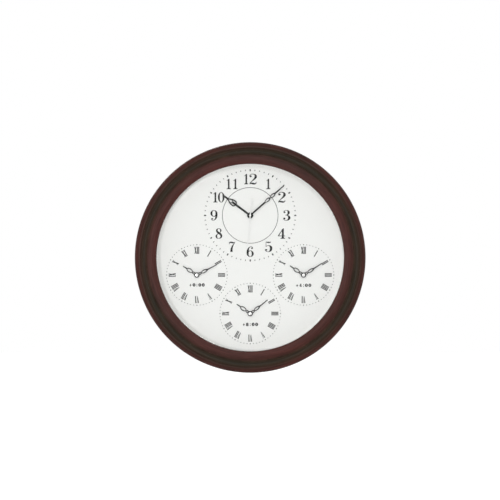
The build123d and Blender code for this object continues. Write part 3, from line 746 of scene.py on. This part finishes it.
# %% Strokes of the numerals
half = fat / 2
digits = {
    "0": [pen(oval(0, 0.5, 0.21, 0.482, 0.124), True)],
    "1": [
        bar(-half, half, 0, 0.97), foot(0, 0.205),
        face([
            (-0.21, 0.815), (-0.2, 0.79), (-half, 0.83), (half, 0.83), (half, 1.0),
            (0.02, 1.0), (-0.06, 0.9),
        ]),
    ],
    "2": [
        drop(-0.155, 0.765, 0.083),
        pen([
            (-0.222, 0.8, 0.04), (-0.19, 0.9, 0.038), (-0.08, 0.978, 0.036), (0.06, 0.975, 0.05),
            (0.175, 0.9, 0.095), (0.21, 0.75, 0.122), (0.165, 0.6, 0.105), (0.03, 0.41, 0.065),
            (-0.12, 0.235, 0.045), (-0.215, 0.07, 0.045),
        ]),
        pen([
            (-0.235, 0.025, 0.05), (-0.15, 0.08, 0.085), (-0.02, 0.075, 0.115), (0.11, 0.045, 0.1),
            (0.2, 0.085, 0.06), (0.245, 0.2, 0.028), (0.25, 0.24, 0.024),
        ]),
    ],
    "3": [
        drop(-0.15, 0.8, 0.076),
        pen([
            (-0.21, 0.83, 0.04), (-0.15, 0.94, 0.036), (-0.01, 0.985, 0.034), (0.12, 0.925, 0.085),
            (0.165, 0.77, 0.118), (0.11, 0.61, 0.08), (-0.02, 0.53, 0.034), (-0.085, 0.522, 0.03),
        ]),
        pen([
            (-0.085, 0.522, 0.03), (0.02, 0.52, 0.034), (0.15, 0.44, 0.085), (0.21, 0.27, 0.124),
            (0.14, 0.09, 0.09), (-0.01, 0.016, 0.036), (-0.15, 0.06, 0.036), (-0.228, 0.17, 0.04),
        ]),
        drop(-0.165, 0.205, 0.083),
    ],
    "4": [
        bar(0.02, 0.17, 0, 0.93), foot(0.095, 0.175),
        face([
            (0.17, 1.0), (0.1, 1.0), (-0.285, 0.3), (-0.285, 0.24), (-0.22, 0.24),
            (0.02, 0.74), (0.17, 0.92),
        ]),
        bar(-0.285, 0.27, 0.24, 0.3),
    ],
    "5": [
        pen([
            (-0.175, 0.975, 0.03), (-0.12, 0.95, 0.06), (0, 0.93, 0.095),
            (0.11, 0.935, 0.075), (0.19, 0.985, 0.03),
        ]),
        bar(-0.19, -0.156, 0.5, 0.985),
        pen([
            (-0.18, 0.51, 0.03), (-0.1, 0.59, 0.034), (0.02, 0.62, 0.045), (0.15, 0.55, 0.095),
            (0.205, 0.34, 0.124), (0.145, 0.11, 0.095), (0, 0.016, 0.038), (-0.14, 0.06, 0.036),
            (-0.222, 0.17, 0.04),
        ]),
        drop(-0.16, 0.205, 0.083),
    ],
    "6": [
        pen(oval(0, 0.305, 0.21, 0.289), True),
        pen([
            (-0.21, 0.305, 0.118), (-0.213, 0.48, 0.122), (-0.17, 0.74, 0.1), (-0.06, 0.92, 0.055),
            (0.06, 0.982, 0.034), (0.155, 0.955, 0.034), (0.21, 0.87, 0.04),
        ]),
        drop(0.15, 0.83, 0.076),
    ],
    "7": [
        bar(-0.255, -0.222, 0.74, 0.99),
        pen([
            (-0.235, 0.84, 0.03), (-0.17, 0.9, 0.075), (-0.07, 0.935, 0.105), (0.06, 0.9, 0.095),
            (0.17, 0.9, 0.06), (0.238, 0.965, 0.034),
        ]),
        pen([
            (0.238, 0.985, 0.03), (0.16, 0.8, 0.045), (0.03, 0.56, 0.08), (-0.04, 0.3, 0.118),
            (-0.05, 0.07, 0.13), (-0.05, 0.005, 0.13),
        ]),
    ],
    "8": [
        pen([
            (0, 0.982, 0.034), (-0.125, 0.925, 0.065), (-0.165, 0.79, 0.095), (-0.11, 0.655, 0.118),
            (0.02, 0.54, 0.135), (0.15, 0.42, 0.125), (0.205, 0.25, 0.105), (0.14, 0.08, 0.07),
            (0, 0.018, 0.034),
        ]),
        pen([
            (0, 0.018, 0.034), (-0.145, 0.08, 0.07), (-0.205, 0.25, 0.09), (-0.13, 0.42, 0.05),
            (0.02, 0.535, 0.032), (0.13, 0.66, 0.05), (0.165, 0.79, 0.085), (0.12, 0.925, 0.06),
            (0, 0.982, 0.034),
        ]),
    ],
}

# %% [markdown]
# The labels on the small dials are much smaller, so their few signs get sturdier strokes.

# %% Strokes of the label signs
label_signs = {
    "0": [pen(oval(0, 0.5, 0.26, 0.41, 0.27, 0.17), True)],
    "4": [
        bar(0.02, 0.24, 0, 1.0), bar(-0.34, 0.36, 0.19, 0.34), bar(-0.1, 0.34, 0, 0.1),
        face([
            (0.02, 1.0), (-0.34, 0.34), (-0.34, 0.22), (-0.16, 0.28), (0.1, 0.74), (0.1, 1.0),
        ]),
    ],
    "8": [
        pen(oval(0, 0.73, 0.2, 0.18, 0.23, 0.16), True),
        pen(oval(0, 0.28, 0.25, 0.2, 0.26, 0.16), True),
    ],
    "+": [bar(-0.3, 0.3, 0.32, 0.5), bar(-0.11, 0.11, 0.05, 0.77)],
    ":": [drop(0, 0.68, 0.13), drop(0, 0.17, 0.13)],
}

# %% [markdown]
# Each numeral and sign is melted once and copied to wherever it stands. The numerals are
# widened, some more than others, until the ring of hours looks even. The 9 is a 6 on its head.

# %% Melt the numerals and signs
breadths = {"0": 1.06, "1": 1.0, "2": 1.34, "3": 1.28, "4": 1.26, "5": 1.32}
usual_breadth = 1.16
glyphs = {}
for character, strokes in digits.items():
    glyph = melted(strokes, f"glyph_{len(glyphs)}")
    glyph.data.transform(Matrix.Diagonal((breadths.get(character, usual_breadth), 1, 1, 1)))
    glyphs[character] = glyph
signs_of_labels = {}
for character, strokes in label_signs.items():
    signs_of_labels[character] = melted(strokes, f"sign_{len(signs_of_labels)}")
head_over = shift((0, 1, 0)) @ Matrix.Rotation(pi, 4, "Z")
glyphs["9"] = copied(glyphs["6"], "glyph_nine", head_over)
print("glyph faces", {character: len(glyph.data.polygons) for character, glyph in glyphs.items()})

# %% [markdown]
# ## Printing the large dial
# A printed dial is ink laid a tenth of a millimetre thick on the sheet. So a flat shape is
# scaled, stood upright and sunk a hair into the sheet. Numerals are set side by side by their
# widths, and the marks of a track are copied round a circle, so that all point to the middle.

# %% Set numerals on the sheet
ink_depth = 0.1 * mm
ink_bite = 0.02 * mm
upright = Matrix.Rotation(pi / 2, 4, "X")


def set_on_sheet(shape, centre, across, up, scale, turn=0.0):
    """Copies a flat shape to the sheet: scaled, turned clockwise about the dial, upright."""
    flat = Matrix.Diagonal((scale, scale, (ink_depth + ink_bite) / body_depth, 1))
    moved = shift((across, up, 0)) @ flat
    x, z = centre
    seat = shift((x, sheet_front - ink_depth, z))
    turned_flat = Matrix.Rotation(-turn, 4, "Z") @ moved
    return copied(shape, "print", seat @ upright @ turned_flat)


widths = {"1": 0.41, "2": 0.66, "+": 0.6, ":": 0.26}
usual_width = 0.6


def typeset(text, shapes, height, spacing, centre, across, up):
    """A line of glyphs, centred on a point of the dial. Spacing counts in heights."""
    taken = [widths.get(letter, usual_width) for letter in text]
    left = -(sum(taken) + spacing * (len(text) - 1)) / 2
    pieces = []
    for letter, width in zip(text, taken):
        x = across + (left + width / 2) * height
        pieces.append(set_on_sheet(shapes[letter], centre, x, up - height / 2, height))
        left += width + spacing
    return pieces


def track(name, centre, radius, size, count, skip=0):
    """Marks spaced evenly on a circle, but none at the places that skip divides."""
    x, z = centre
    width, length = size
    size = (width, ink_depth + ink_bite, length)
    mark = seated(block(size, (0, sheet_front + (ink_bite - ink_depth) / 2, radius)))
    pieces = []
    for index in range(count):
        if not skip or index % skip:
            turn = Matrix.Rotation(index * 2 * pi / count, 4, "Y")
            pieces.append(copied(mark, name, shift((x, 0, z)) @ turn))
    bpy.data.objects.remove(mark)
    return pieces


def printed_circle(centre, radius, width):
    """A thin line of ink all round a dial."""
    inside, outside = radius - width / 2, radius + width / 2
    front, back = sheet_front - ink_depth, sheet_front + ink_bite
    corners = [(inside, front), (outside, front), (outside, back), (inside, back), (inside, front)]
    return turned("circle", corners, centre, steps=round_steps)


# %% [markdown]
# Each numeral stands upright at its hour. Long dashes mark the hours and short ones the
# minutes, and one thin circle runs inside the numerals. All of it is joined into one print.

# %% Print the large dial
numeral_height = 18.0 * mm
numeral_circle = 63.2 * mm
inner_circle = 48.5 * mm
circle_line = 0.85 * mm
minute_track = 78.6 * mm
dash = (1.15 * mm, 2.3 * mm)
hour_dash = (2.1 * mm, 3.5 * mm)
tight = {"10": 0.06, "11": 0.24, "12": 0.1}
centre = dials["main"]
main_print = []
for hour in range(1, 13):
    turn = radians(30 * hour)
    text = str(hour)
    across, up = numeral_circle * sin(turn), numeral_circle * cos(turn)
    main_print += typeset(text, glyphs, numeral_height, tight.get(text, 0), centre, across, up)
main_print += track("dash", centre, minute_track, dash, 60, skip=5)
main_print += track("hour_dash", centre, minute_track, hour_dash, 12)
main_print.append(printed_circle(centre, inner_circle, circle_line))
prints = {"main": joined(main_print, "main_dial_print")}
print("main print faces", len(prints["main"].data.polygons))

# %% [markdown]
# ## Printing the small dials
# The small dials carry Roman numerals whose feet point to the middle: fat stems, thin slabs
# above and below, and for V and X strokes that lean. Four stands as IIII, as on most clocks.
# Below each hub a small number tells how many hours that dial is ahead.

# %% Roman numerals
roman_height = 12.0
roman_stem = 1.5
roman_slab = 0.55
roman_widths = {"I": 2.25, "V": 4.5, "X": 4.3}
roman_hours = "I II III IIII V VI VII VIII IX X XI XII".split()


def leaning(foot_x, head_x, foot_width, head_width):
    """A stroke that leans from its foot to its head."""
    return face([
        (foot_x - foot_width / 2, 0), (foot_x + foot_width / 2, 0),
        (head_x + head_width / 2, roman_height), (head_x - head_width / 2, roman_height),
    ])


def roman_strokes(text):
    """The strokes of a Roman numeral in millimetres, centred on x 0."""
    high = roman_height - roman_slab
    overlap = 0.02
    strokes = []
    left = -sum(roman_widths[letter] for letter in text) / 2
    for letter in text:
        width = roman_widths[letter]
        x = left + width / 2
        if letter == "I":
            strokes.append(bar(x - roman_stem / 2, x + roman_stem / 2, 0, roman_height))
            slabs = [(-0.5, 0.5, 0), (-0.5, 0.5, high)]
        elif letter == "V":
            strokes += [leaning(x, x - 1.3, 0.6, 1.8), leaning(x, x + 1.45, 0.5, 0.7)]
            slabs = [(-0.5, -0.09, high), (0.17, 0.5, high)]
        else:
            strokes.append(leaning(x + 1.2, x - 1.2, 1.75, 1.75))
            strokes.append(leaning(x - 1.35, x + 1.35, 0.75, 0.75))
            slabs = [(-0.5, -0.09, high), (0.17, 0.5, high), (-0.5, -0.17, 0), (0.09, 0.5, 0)]
        for start, end, level in slabs:
            ends = (x + start * width - overlap, x + end * width + overlap)
            strokes.append(bar(*ends, level, level + roman_slab))
        left += width
    return strokes


# %% [markdown]
# Each small dial gets its numerals, its dots, with larger ones at the hours, and its label.
# The shapes that were copied are then cleared away.

# %% Print the small dials
romans = [melted(roman_strokes(text), f"roman_{text}") for text in roman_hours]
roman_foot = 37.1 * mm
dot_track = 52.9 * mm
dot = (1.2 * mm, 1.2 * mm)
hour_dot = (1.5 * mm, 1.6 * mm)
label_height = 5.6 * mm
label_spacing = 0.48
label_drops = {"left": 17.4 * mm, "right": 18.0 * mm, "lower": 19.0 * mm}
labels = {"left": "+0:00", "right": "+4:00", "lower": "+8:00"}
for name, label in labels.items():
    centre = dials[name]
    pieces = []
    for index, shape in enumerate(romans):
        turn = radians(30 * (index + 1))
        pieces.append(set_on_sheet(shape, centre, 0, roman_foot, mm, turn))
    pieces += track("dot", centre, dot_track, dot, 60, skip=5)
    pieces += track("hour_dot", centre, dot_track, hour_dot, 12)
    drop_to = -label_drops[name]
    pieces += typeset(label, signs_of_labels, label_height, label_spacing, centre, 0, drop_to)
    prints[name] = joined(pieces, f"{name}_dial_print")
for shape in [*glyphs.values(), *signs_of_labels.values(), *romans]:
    bpy.data.objects.remove(shape)
print("small print faces", {name: len(prints[name].data.polygons) for name in labels})

# %% [markdown]
# The sheet itself is smooth white card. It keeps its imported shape, and its finish has only a
# faint fibre and the least sheen. The ink is a soft black that lies a little unevenly.

# %% Card and ink
card = mottled("white_card", (0.872, 0.872, 0.856), (0.9, 0.9, 0.885), 0.62, 0.35, 0.004)
ink = mottled("black_ink", (0.006, 0.006, 0.007), (0.015, 0.015, 0.016), 0.6, 0.5, 0.004, shine=0.1)
wear(nodes["dial_sheet"], card)
for name, dial_print in prints.items():
    settled(dial_print, 40)
    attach(dial_print, "clock_case")
    wear(dial_print, ink)
print("prints", sorted(prints))

# %% [markdown]
# ## The hands
# The hands are punched from thin metal and enamelled black, the second hand white. A painted
# edge is never knife-sharp. So each packed outline is copied, its triangles are merged into flat
# faces, and its edges are eased by a tenth of a millimetre, which gives them thin highlights.

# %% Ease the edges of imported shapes


def eased_copy(node, width, body, finish):
    """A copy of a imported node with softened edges, which stands for it."""
    piece = placed(f"{node}_eased", nodes[node].data.copy())
    take(piece)
    bpy.ops.mesh.customdata_custom_splitnormals_clear()
    mended(piece, mm / 500, flats=radians(0.5))
    flat_faced(eased(piece, width))
    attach(piece, body)
    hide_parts(node)
    wear(piece, finish)
    return piece


black_enamel = mottled(
    "black_enamel", (0.004, 0.004, 0.0042), (0.009, 0.009, 0.0095), 0.34, 0.8, 0.006, shine=0.15,
)
white_enamel = mottled("white_enamel", (0.8, 0.8, 0.785), (0.86, 0.86, 0.85), 0.32, 0.8, 0.006)
hand_ease = 0.1 * mm
for name in dial_names:
    for kind in ("hour", "minute"):
        body = f"{name}_{kind}"
        eased_copy(f"{name}_{kind}_hand", hand_ease, body, black_enamel)
second = eased_copy("main_second_hand", hand_ease, "main_second", white_enamel)
print("second hand faces", len(second.data.polygons))

# %% [markdown]
# ## Bright nuts
# A small domed nut holds each small minute hand and shines in the middle of its dial. It is
# turned from bar and polished: a flat rim, a rounded shoulder, and a shallow dish in whose
# middle the end of the arbor shows.

# %% Turn the nuts
polished = mottled("polished_nickel", (0.72, 0.72, 0.72), (0.85, 0.85, 0.84), 0.2, 0.25, 0.002, 1.0)
nut_dish = 0.3 * mm
nut_shoulder = 0.6 * mm
for name in dial_names[1:]:
    low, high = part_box(f"{name}_hand_nut")
    radius = (high.x - low.x) / 2
    nut = turned(f"{name}_bright_nut", [
        (0, low.y + nut_dish * 0.4),
        (radius * 0.34, low.y + nut_dish * 0.4),
        (radius * 0.42, low.y + nut_dish),
        (radius * 0.58, low.y),
        *round_edge(radius - nut_shoulder, low.y + nut_shoulder, nut_shoulder, 90, 0, 5),
        (radius, high.y),
        (0, high.y),
    ], dials[name], steps=48)
    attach(nut, f"{name}_minute")
    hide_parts(f"{name}_hand_nut")
    wear(nut, polished)
print("nut radius, mm", round(radius / mm, 2))

# %% [markdown]
# ## The back: screws, plate and pads
# From behind, the clock shows its hardboard, held by eight countersunk screws, the keyhole plate
# with two more, and four felt pads. A screw is turned once, two crossed slots are sunk into its
# head, and a copy goes to every hole, each at its own angle.

# %% Screws
screw_head = 2.9 * mm
screw_shank = 1.5 * mm
head_depth = 1.1 * mm
screw_length = 11.0 * mm
slot_long = 3.2 * mm
slot_wide = 0.7 * mm
slot_deep = 0.6 * mm
rim = 0.12 * mm
screw = turned("screw", [
    (0, 0), (screw_head - rim, 0), (screw_head, -rim), (screw_shank, -head_depth),
    (screw_shank, screw_shank - screw_length), (0, -screw_length),
], steps=32)
for size in ((slot_long, 2 * slot_deep, slot_wide), (slot_wide, 2 * slot_deep, slot_long)):
    cut(screw, block(size, (0, 0, 0)))

screw_circle = 173.0 * mm
board_screws = 8
board_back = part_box("dial_board")[1].y
hanger_reach = 13.0 * mm
screw_places = []
for index in range(board_screws):
    turn = 2 * pi * (index + 0.5) / board_screws
    screw_places.append((screw_circle * cos(turn), board_back, screw_circle * sin(turn)))
screw_places += [(side * hanger_reach, ring_back, plate_middle.z) for side in (-1, 1)]
screws = []
for index, place in enumerate(screw_places):
    stop = Matrix.Rotation(radians(37 * index), 4, "Y")
    screws.append(copied(screw, "screw", shift(place) @ stop))
bpy.data.objects.remove(screw)
screws = joined(screws, "countersunk_screws")
flat_faced(eased(screws, 0.06 * mm, angle=50, segments=1))
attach(screws, "clock_case")
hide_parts("wood_screws")
wear(screws, mottled("zinc_steel", (0.5, 0.49, 0.45), (0.68, 0.67, 0.62), 0.36, 0.6, 0.004, 1.0))
print("screws", len(screw_places))

# %% [markdown]
# The keyhole plate is punched from steel strip and barrelled, so its edges are soft. The strip
# was rolled, which leaves faint lines along it. The pads are felt discs with soft edges.

# %% Keyhole plate and felt pads
rolled = mottled(
    "rolled_steel", (0.42, 0.42, 0.41), (0.62, 0.62, 0.6), 0.38, 3, 0.006, 1.0, stretch=(1, 1, 12),
)
hanger = eased_copy("hanger_plate", 0.15 * mm, "clock_case", rolled)

pad_low, pad_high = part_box("wall_pads")
pad_radius = 6.0 * mm
pad_reach = pad_high.x - pad_radius
pad_soft = 0.5 * mm
pads = []
for side in (-1, 1):
    for level in (-1, 1):
        pads.append(turned("pad", [
            (0, pad_low.y),
            (pad_radius, pad_low.y),
            (pad_radius, pad_high.y - pad_soft),
            (pad_radius - pad_soft * 0.3, pad_high.y - pad_soft * 0.3),
            (pad_radius - pad_soft, pad_high.y),
            (0, pad_high.y),
        ], (side * pad_reach, level * pad_reach), steps=40))
pads = joined(pads, "felt_pads")
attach(pads, "clock_case")
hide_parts("wall_pads")
felt = mottled("grey_felt", (0.06, 0.062, 0.06), (0.15, 0.152, 0.148), 0.95, 0.5, 0.2)
shader_of(felt).inputs["Sheen Weight"].default_value = 0.4
wear(pads, felt)
print("plate faces", len(hanger.data.polygons), "pad faces", len(pads.data.polygons))

# %% [markdown]
# ## Hardboard
# The board is pressed from wood fibre: brown, with a smooth face on one side and short matted
# fibres everywhere. Two noises, one coarse and one fine and stretched, give the fibres.

# %% Finish of the board


def hardboard():
    board = new_finish("pressed_hardboard", (0.2, 0.11, 0.055), 0.62)
    fibres = noise(board, 0.7 * mm, 6, stretch=(0.35, 1, 1))
    clouds = noise(board, 30 * mm, 3)
    figure = both(board, 0.3, fibres, clouds)
    feed(board, "Base Color", shades(board, figure, [
        (0.3, (0.11, 0.056, 0.027)), (0.5, (0.19, 0.105, 0.054)), (0.72, (0.33, 0.205, 0.115)),
    ]))
    feed(board, "Roughness", between(board, fibres, 0.52, 0.7))
    relief(board, fibres, 0.05 * mm)
    return board


wear(nodes["dial_board"], hardboard())
print("board thickness, mm", round((board_back - board_front) / mm, 2))

# %% [markdown]
# ## The movements
# Behind each dial sits a black plastic movement. Its case is moulded with soft edges and a fine
# sparked grain, its rear cover snaps in above the battery bay, and a ribbed knob sets the hands.
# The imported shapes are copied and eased, and the knobs keep turning with their bodies.

# %% Cases, covers and knobs
case_black = mottled(
    "moulded_black", (0.012, 0.012, 0.0125), (0.022, 0.022, 0.023), 0.5, 0.18, 0.012,
)
cover_black = mottled("cover_black", (0.016, 0.016, 0.017), (0.028, 0.028, 0.029), 0.42, 0.22, 0.01)
knob_grey = mottled("knob_grey", (0.035, 0.036, 0.038), (0.06, 0.061, 0.064), 0.38, 0.3, 0.006)
case_ease = 0.15 * mm
knob_ease = 0.12 * mm
for name in dial_names:
    eased_copy(f"{name}_front_case", case_ease, "clock_case", case_black)
    eased_copy(f"{name}_set_knob", knob_ease, f"{name}_motion", knob_grey)
covers = eased_copy("rear_covers", case_ease, "clock_case", cover_black)
print("cover faces", len(covers.data.polygons))

# %% [markdown]
# Moulded on each cover are a low ring that guards the knob, a curved arrow that tells which way
# to turn it, and a plus and a minus sign for the ends of the battery. The arrow is a pen stroke
# with a pointed end, and the signs are bars.

# %% Moulded signs on the covers
cover_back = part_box("rear_covers")[1].y
sign_rise = 0.3 * mm
sign_bite = 0.05 * mm
guard_inside = 5.2 * mm
guard_outside = 6.1 * mm
guard_rise = 0.7 * mm
guard_ease = guard_rise * 0.2
arrow_circle = 8.0
arrow_line = 0.8
arrow_start = 200
arrow_end = 300
arrow_head = 2.2
arrow_half = 1.3
sign_half = 1.8
sign_line = 0.35
sign_reach = 21 * mm
sign_drop = 5.5 * mm


def cover_sign(shape, place):
    """A flat shape in millimetres, laid on the outside of a cover and read from behind."""
    x, z = place
    lift = Matrix.Diagonal((mm, mm, (sign_rise + sign_bite) / body_depth, 1))
    behind = Matrix.Rotation(pi, 4, "Z") @ Matrix.Rotation(pi / 2, 4, "X")
    shape.data.transform(shift((x, cover_back + sign_rise, z)) @ behind @ lift)
    return shape


def arrow_strokes():
    """A bent stroke with a pointed head."""
    knots = []
    for index in range(6):
        turn = radians(arrow_start + (arrow_end - arrow_start) * index / 5)
        out = Vector((cos(turn), sin(turn)))
        knots.append((*(out * arrow_circle), arrow_line))
    end = out * arrow_circle
    along = Vector((-out.y, out.x))
    corners = (end + out * arrow_half, end - out * arrow_half, end + along * arrow_head)
    return [pen(knots), face([tuple(corner) for corner in corners])]


def signs(name):
    """The guard ring and the signs of one movement."""
    knob = middle_of(f"{name}_set_knob")
    hub = (knob.x, knob.z)
    foot_y, top_y = cover_back - sign_bite, cover_back + guard_rise
    edge_y = top_y - guard_ease
    guard = turned("guard", [
        (guard_inside, foot_y), (guard_inside, edge_y), (guard_inside + guard_ease, top_y),
        (guard_outside - guard_ease, top_y), (guard_outside, edge_y), (guard_outside, foot_y),
        (guard_inside, foot_y),
    ], hub)
    level_stroke = (-sign_half, sign_half, -sign_line, sign_line)
    plus = melted([bar(*level_stroke), bar(-sign_line, sign_line, -sign_half, sign_half)], "plus")
    minus = melted([bar(*level_stroke)], "minus")
    x, z = dials[name]
    return [
        guard, cover_sign(melted(arrow_strokes(), "arrow"), hub),
        cover_sign(plus, (x + sign_reach, z - sign_drop)),
        cover_sign(minus, (x - sign_reach, z - sign_drop)),
    ]


cover_signs = joined([piece for name in dial_names for piece in signs(name)], "cover_signs")
settled(cover_signs)
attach(cover_signs, "clock_case")
wear(cover_signs, cover_black)
print("sign faces", len(cover_signs.data.polygons))

# %% [markdown]
# ## Batteries
# An AA cell is a steel can in a printed sleeve that shrinks over its rims, with a bright nub at
# one end and a flat base at the other. It is turned like the rest and then laid along the bay.
# The faces at its ends get bare steel and the long wall gets a plain blue-grey sleeve.

# %% Turn the batteries
sleeve = mottled("blue_grey_sleeve", (0.085, 0.12, 0.15), (0.105, 0.145, 0.18), 0.34, 6, 0.004)
can_steel = mottled("can_steel", (0.55, 0.55, 0.54), (0.72, 0.72, 0.7), 0.28, 0.5, 0.003, 1.0)
shrink = 0.8 * mm
base_rise = 0.3 * mm
nub_height = 1.2 * mm
nub_radius = 2.75 * mm
nub_ease = 0.25 * mm
end_sink = 0.4 * mm
lay_down = Matrix.Rotation(-pi / 2, 4, "Z")
for name in dial_names:
    low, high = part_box(f"{name}_battery")
    length = high.x - low.x
    radius = (high.z - low.z) / 2
    can_end = length - nub_height
    seal = can_end - end_sink
    shoulder = radius - shrink
    bend = radius - shrink * 0.3
    cell = turned(f"{name}_cell", [
        (0, base_rise), (radius * 0.66, base_rise), (radius * 0.72, 0), (shoulder, 0),
        (bend, shrink * 0.3), (radius, shrink), (radius, can_end - shrink),
        (bend, can_end - shrink * 0.3), (shoulder, can_end), (radius * 0.55, can_end),
        (radius * 0.5, seal), (nub_radius, seal), (nub_radius, length - nub_ease),
        (nub_radius - nub_ease, length), (0, length),
    ])
    wear(cell, sleeve, can_steel)
    for side in cell.data.polygons:
        out = Vector((side.center.x, side.center.z)).length
        if out < radius - shrink * 1.1:
            side.material_index = 1
    cell.data.transform(shift((low.x, *middle_of(f"{name}_battery").yz)) @ lay_down)
    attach(cell, f"{name}_battery")
    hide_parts(f"{name}_battery")
nickel = mottled(
    "nickel_strip", (0.58, 0.57, 0.54), (0.74, 0.73, 0.7), 0.25, 0.8, 0.003, 1.0, stretch=(1, 1, 6),
)
eased_copy("battery_contacts", 0.05 * mm, "clock_case", nickel)
print("cell length, mm", round(length / mm, 1))

# %% [markdown]
# ## What the cases hide
# Gaskets, washers, ring nuts, wheels, arbors, motors and circuits hardly show, but they may be
# looked at one by one. So they get finishes too: creamy moulded wheels, drawn brass arbors,
# coils wound from fine copper wire and stators of stamped iron.

# %% Finishes of the inner pieces


def wound_copper():
    coil = new_finish("wound_copper", (0.55, 0.2, 0.08), 0.35, 1.0)
    wire = 0.6 * mm
    inputs = {"Vector": place_of(coil), "Scale": 1 / wire, "Distortion": 0.4, "Detail": 1.0}
    turns = add(coil, "TexWave", inputs, bands_direction="X").outputs["Fac"]
    stops = [(0.1, (0.2, 0.06, 0.025)), (0.8, (0.66, 0.26, 0.11))]
    feed(coil, "Base Color", shades(coil, turns, stops))
    relief(coil, turns, 0.05 * mm)
    return coil


def circuit_lacquer():
    board = new_finish("circuit_lacquer", (0.02, 0.09, 0.045), 0.35)
    inputs = {"Vector": place_of(board), "Scale": 1 / (1.8 * mm)}
    settings = {"distance": "MANHATTAN", "feature": "F1"}
    lines = add(board, "TexVoronoi", inputs, **settings).outputs["Distance"]
    stops = [(0.25, (0.05, 0.16, 0.07)), (0.4, (0.012, 0.06, 0.03))]
    feed(board, "Base Color", shades(board, lines, stops))
    relief(board, lines, 0.03 * mm)
    return board


inner_finishes = {
    "gasket_rubber": mottled(
        "black_rubber", (0.012, 0.012, 0.012), (0.026, 0.026, 0.026), 0.75, 0.6, 0.02,
    ),
    "brass": mottled(
        "drawn_brass", (0.62, 0.42, 0.16), (0.78, 0.58, 0.27), 0.28, 0.4, 0.004, 1.0,
        stretch=(1, 0.1, 1),
    ),
    "wheel_plastic": mottled("waxy_white", (0.66, 0.63, 0.55), (0.74, 0.71, 0.64), 0.4, 0.6, 0.006),
    "rotor_magnet": mottled(
        "sintered_magnet", (0.03, 0.03, 0.032), (0.07, 0.07, 0.073), 0.5, 0.2, 0.02, 0.6,
    ),
    "stator_iron": mottled(
        "stamped_iron", (0.3, 0.3, 0.3), (0.46, 0.46, 0.45), 0.42, 1.5, 0.006, 1.0,
    ),
    "coil_copper": wound_copper(),
    "circuit_laminate": circuit_lacquer(),
    "contact_steel": nickel,
}
slots = {part["node"]: part["material_slot"] for part in frame["record"]["subparts"]}
dressed = 0
for node, slot in slots.items():
    if not nodes[node].hide_render and slot in inner_finishes:
        wear(nodes[node], inner_finishes[slot])
        dressed += 1
print("inner nodes dressed", dressed)

# %% [markdown]
# ## Floor and world
# The clock is shown free on white, as in a catalogue. The world is white to the camera and
# milder as light, so that the card doesn't burn out, and a pale floor lies well below.

# %% Floor and world
floor_level = -0.62
floor_side = 7.8
floor_glow = 0.5
let_go()
bpy.ops.mesh.primitive_plane_add(size=floor_side, location=(0, 0, floor_level))
floor = bpy.context.object
floor.name = "floor"


def floor_paint():
    paint = new_finish("floor_paint", (0.86, 0.86, 0.86), 0.8, more=[
        ("Emission Color", (1, 1, 1, 1)),
    ])
    seen = add(paint, "LightPath", {}).outputs["Is Camera Ray"]
    feed(paint, "Emission Strength", reckon(paint, "MULTIPLY", seen, floor_glow))
    return paint


wear(floor, floor_paint())

room_light = 0.62
world = bpy.data.worlds.new("studio")
bpy.context.scene.world = world
world.use_nodes = True
world.node_tree.nodes.clear()
rays = add(world, "LightPath", {}).outputs
seen = reckon(world, "MAXIMUM", rays["Is Camera Ray"], rays["Is Transmission Ray"])
shown = reckon(world, "MAXIMUM", seen, rays["Is Glossy Ray"])
strength = between(world, shown, room_light, 1.0, 0, 1)
inputs = {"Color": (1, 1, 1, 1), "Strength": strength}
backdrop = add(world, "Background", inputs).outputs["Background"]
add(world, "OutputWorld", {"Surface": backdrop})
print("floor at", floor_level, "room light", room_light)

# %% [markdown]
# ## Lamps
# A key lamp stands far in front on the left, a fill far in front above and a gentle one behind.
# All are square and soft and look at the middle of the clock. The two in front stand where the
# glass can't show them to the camera, or they would veil the print.

# %% Lamps by place, side in metres and watts
lamps = {
    "key": ((-1.7, -6.0, -0.5), 0.7, 76),
    "fill": ((0.5, -6.0, 1.65), 0.9, 64),
    "from_behind": ((-0.9, 2.4, 1.3), 1.4, 30),
}
for name, (place, side, watts) in lamps.items():
    light = bpy.data.lights.new(name, "AREA")
    light.size = side
    light.energy = watts
    lamp = placed(name, light)
    lamp.location = place
    lamp.rotation_euler = (-Vector(place)).to_track_quat("-Z", "Y").to_euler()
    print("lamp", name, "distance, m", round(lamp.location.length, 2))

# %% [markdown]
# ## Camera
# The camera stands a touch above the middle and far enough away to keep the ring round. Its
# distance and shift are worked out from the ring's radius and middle in the photo, in pixels.

# %% Camera
photo_side = 500
ring_middle_px = (250.2, 257.85)
ring_radius_px = 115.41
lens = 85.0
sensor = 36.0
camera_rise = radians(2.0)
view_width = photo_side * ring_radius / ring_radius_px
camera_reach = view_width * lens / sensor
camera_data = bpy.data.cameras.new("photo_camera")
camera_data.lens = lens
camera_data.sensor_width = sensor
camera_data.shift_x = (photo_side / 2 - ring_middle_px[0]) / photo_side
camera_data.shift_y = (ring_middle_px[1] - photo_side / 2) / photo_side
camera = placed("photo_camera", camera_data)
aim = Vector((0, ring_front + bead_radius, 0))
away = Vector((0, -cos(camera_rise), sin(camera_rise)))
camera.location = aim + away * camera_reach
camera.rotation_euler = (-away).to_track_quat("-Z", "Y").to_euler()
bpy.context.scene.camera = camera
bpy.context.scene.view_settings.view_transform = "Standard"
print("camera distance, m", round(camera_reach, 3))
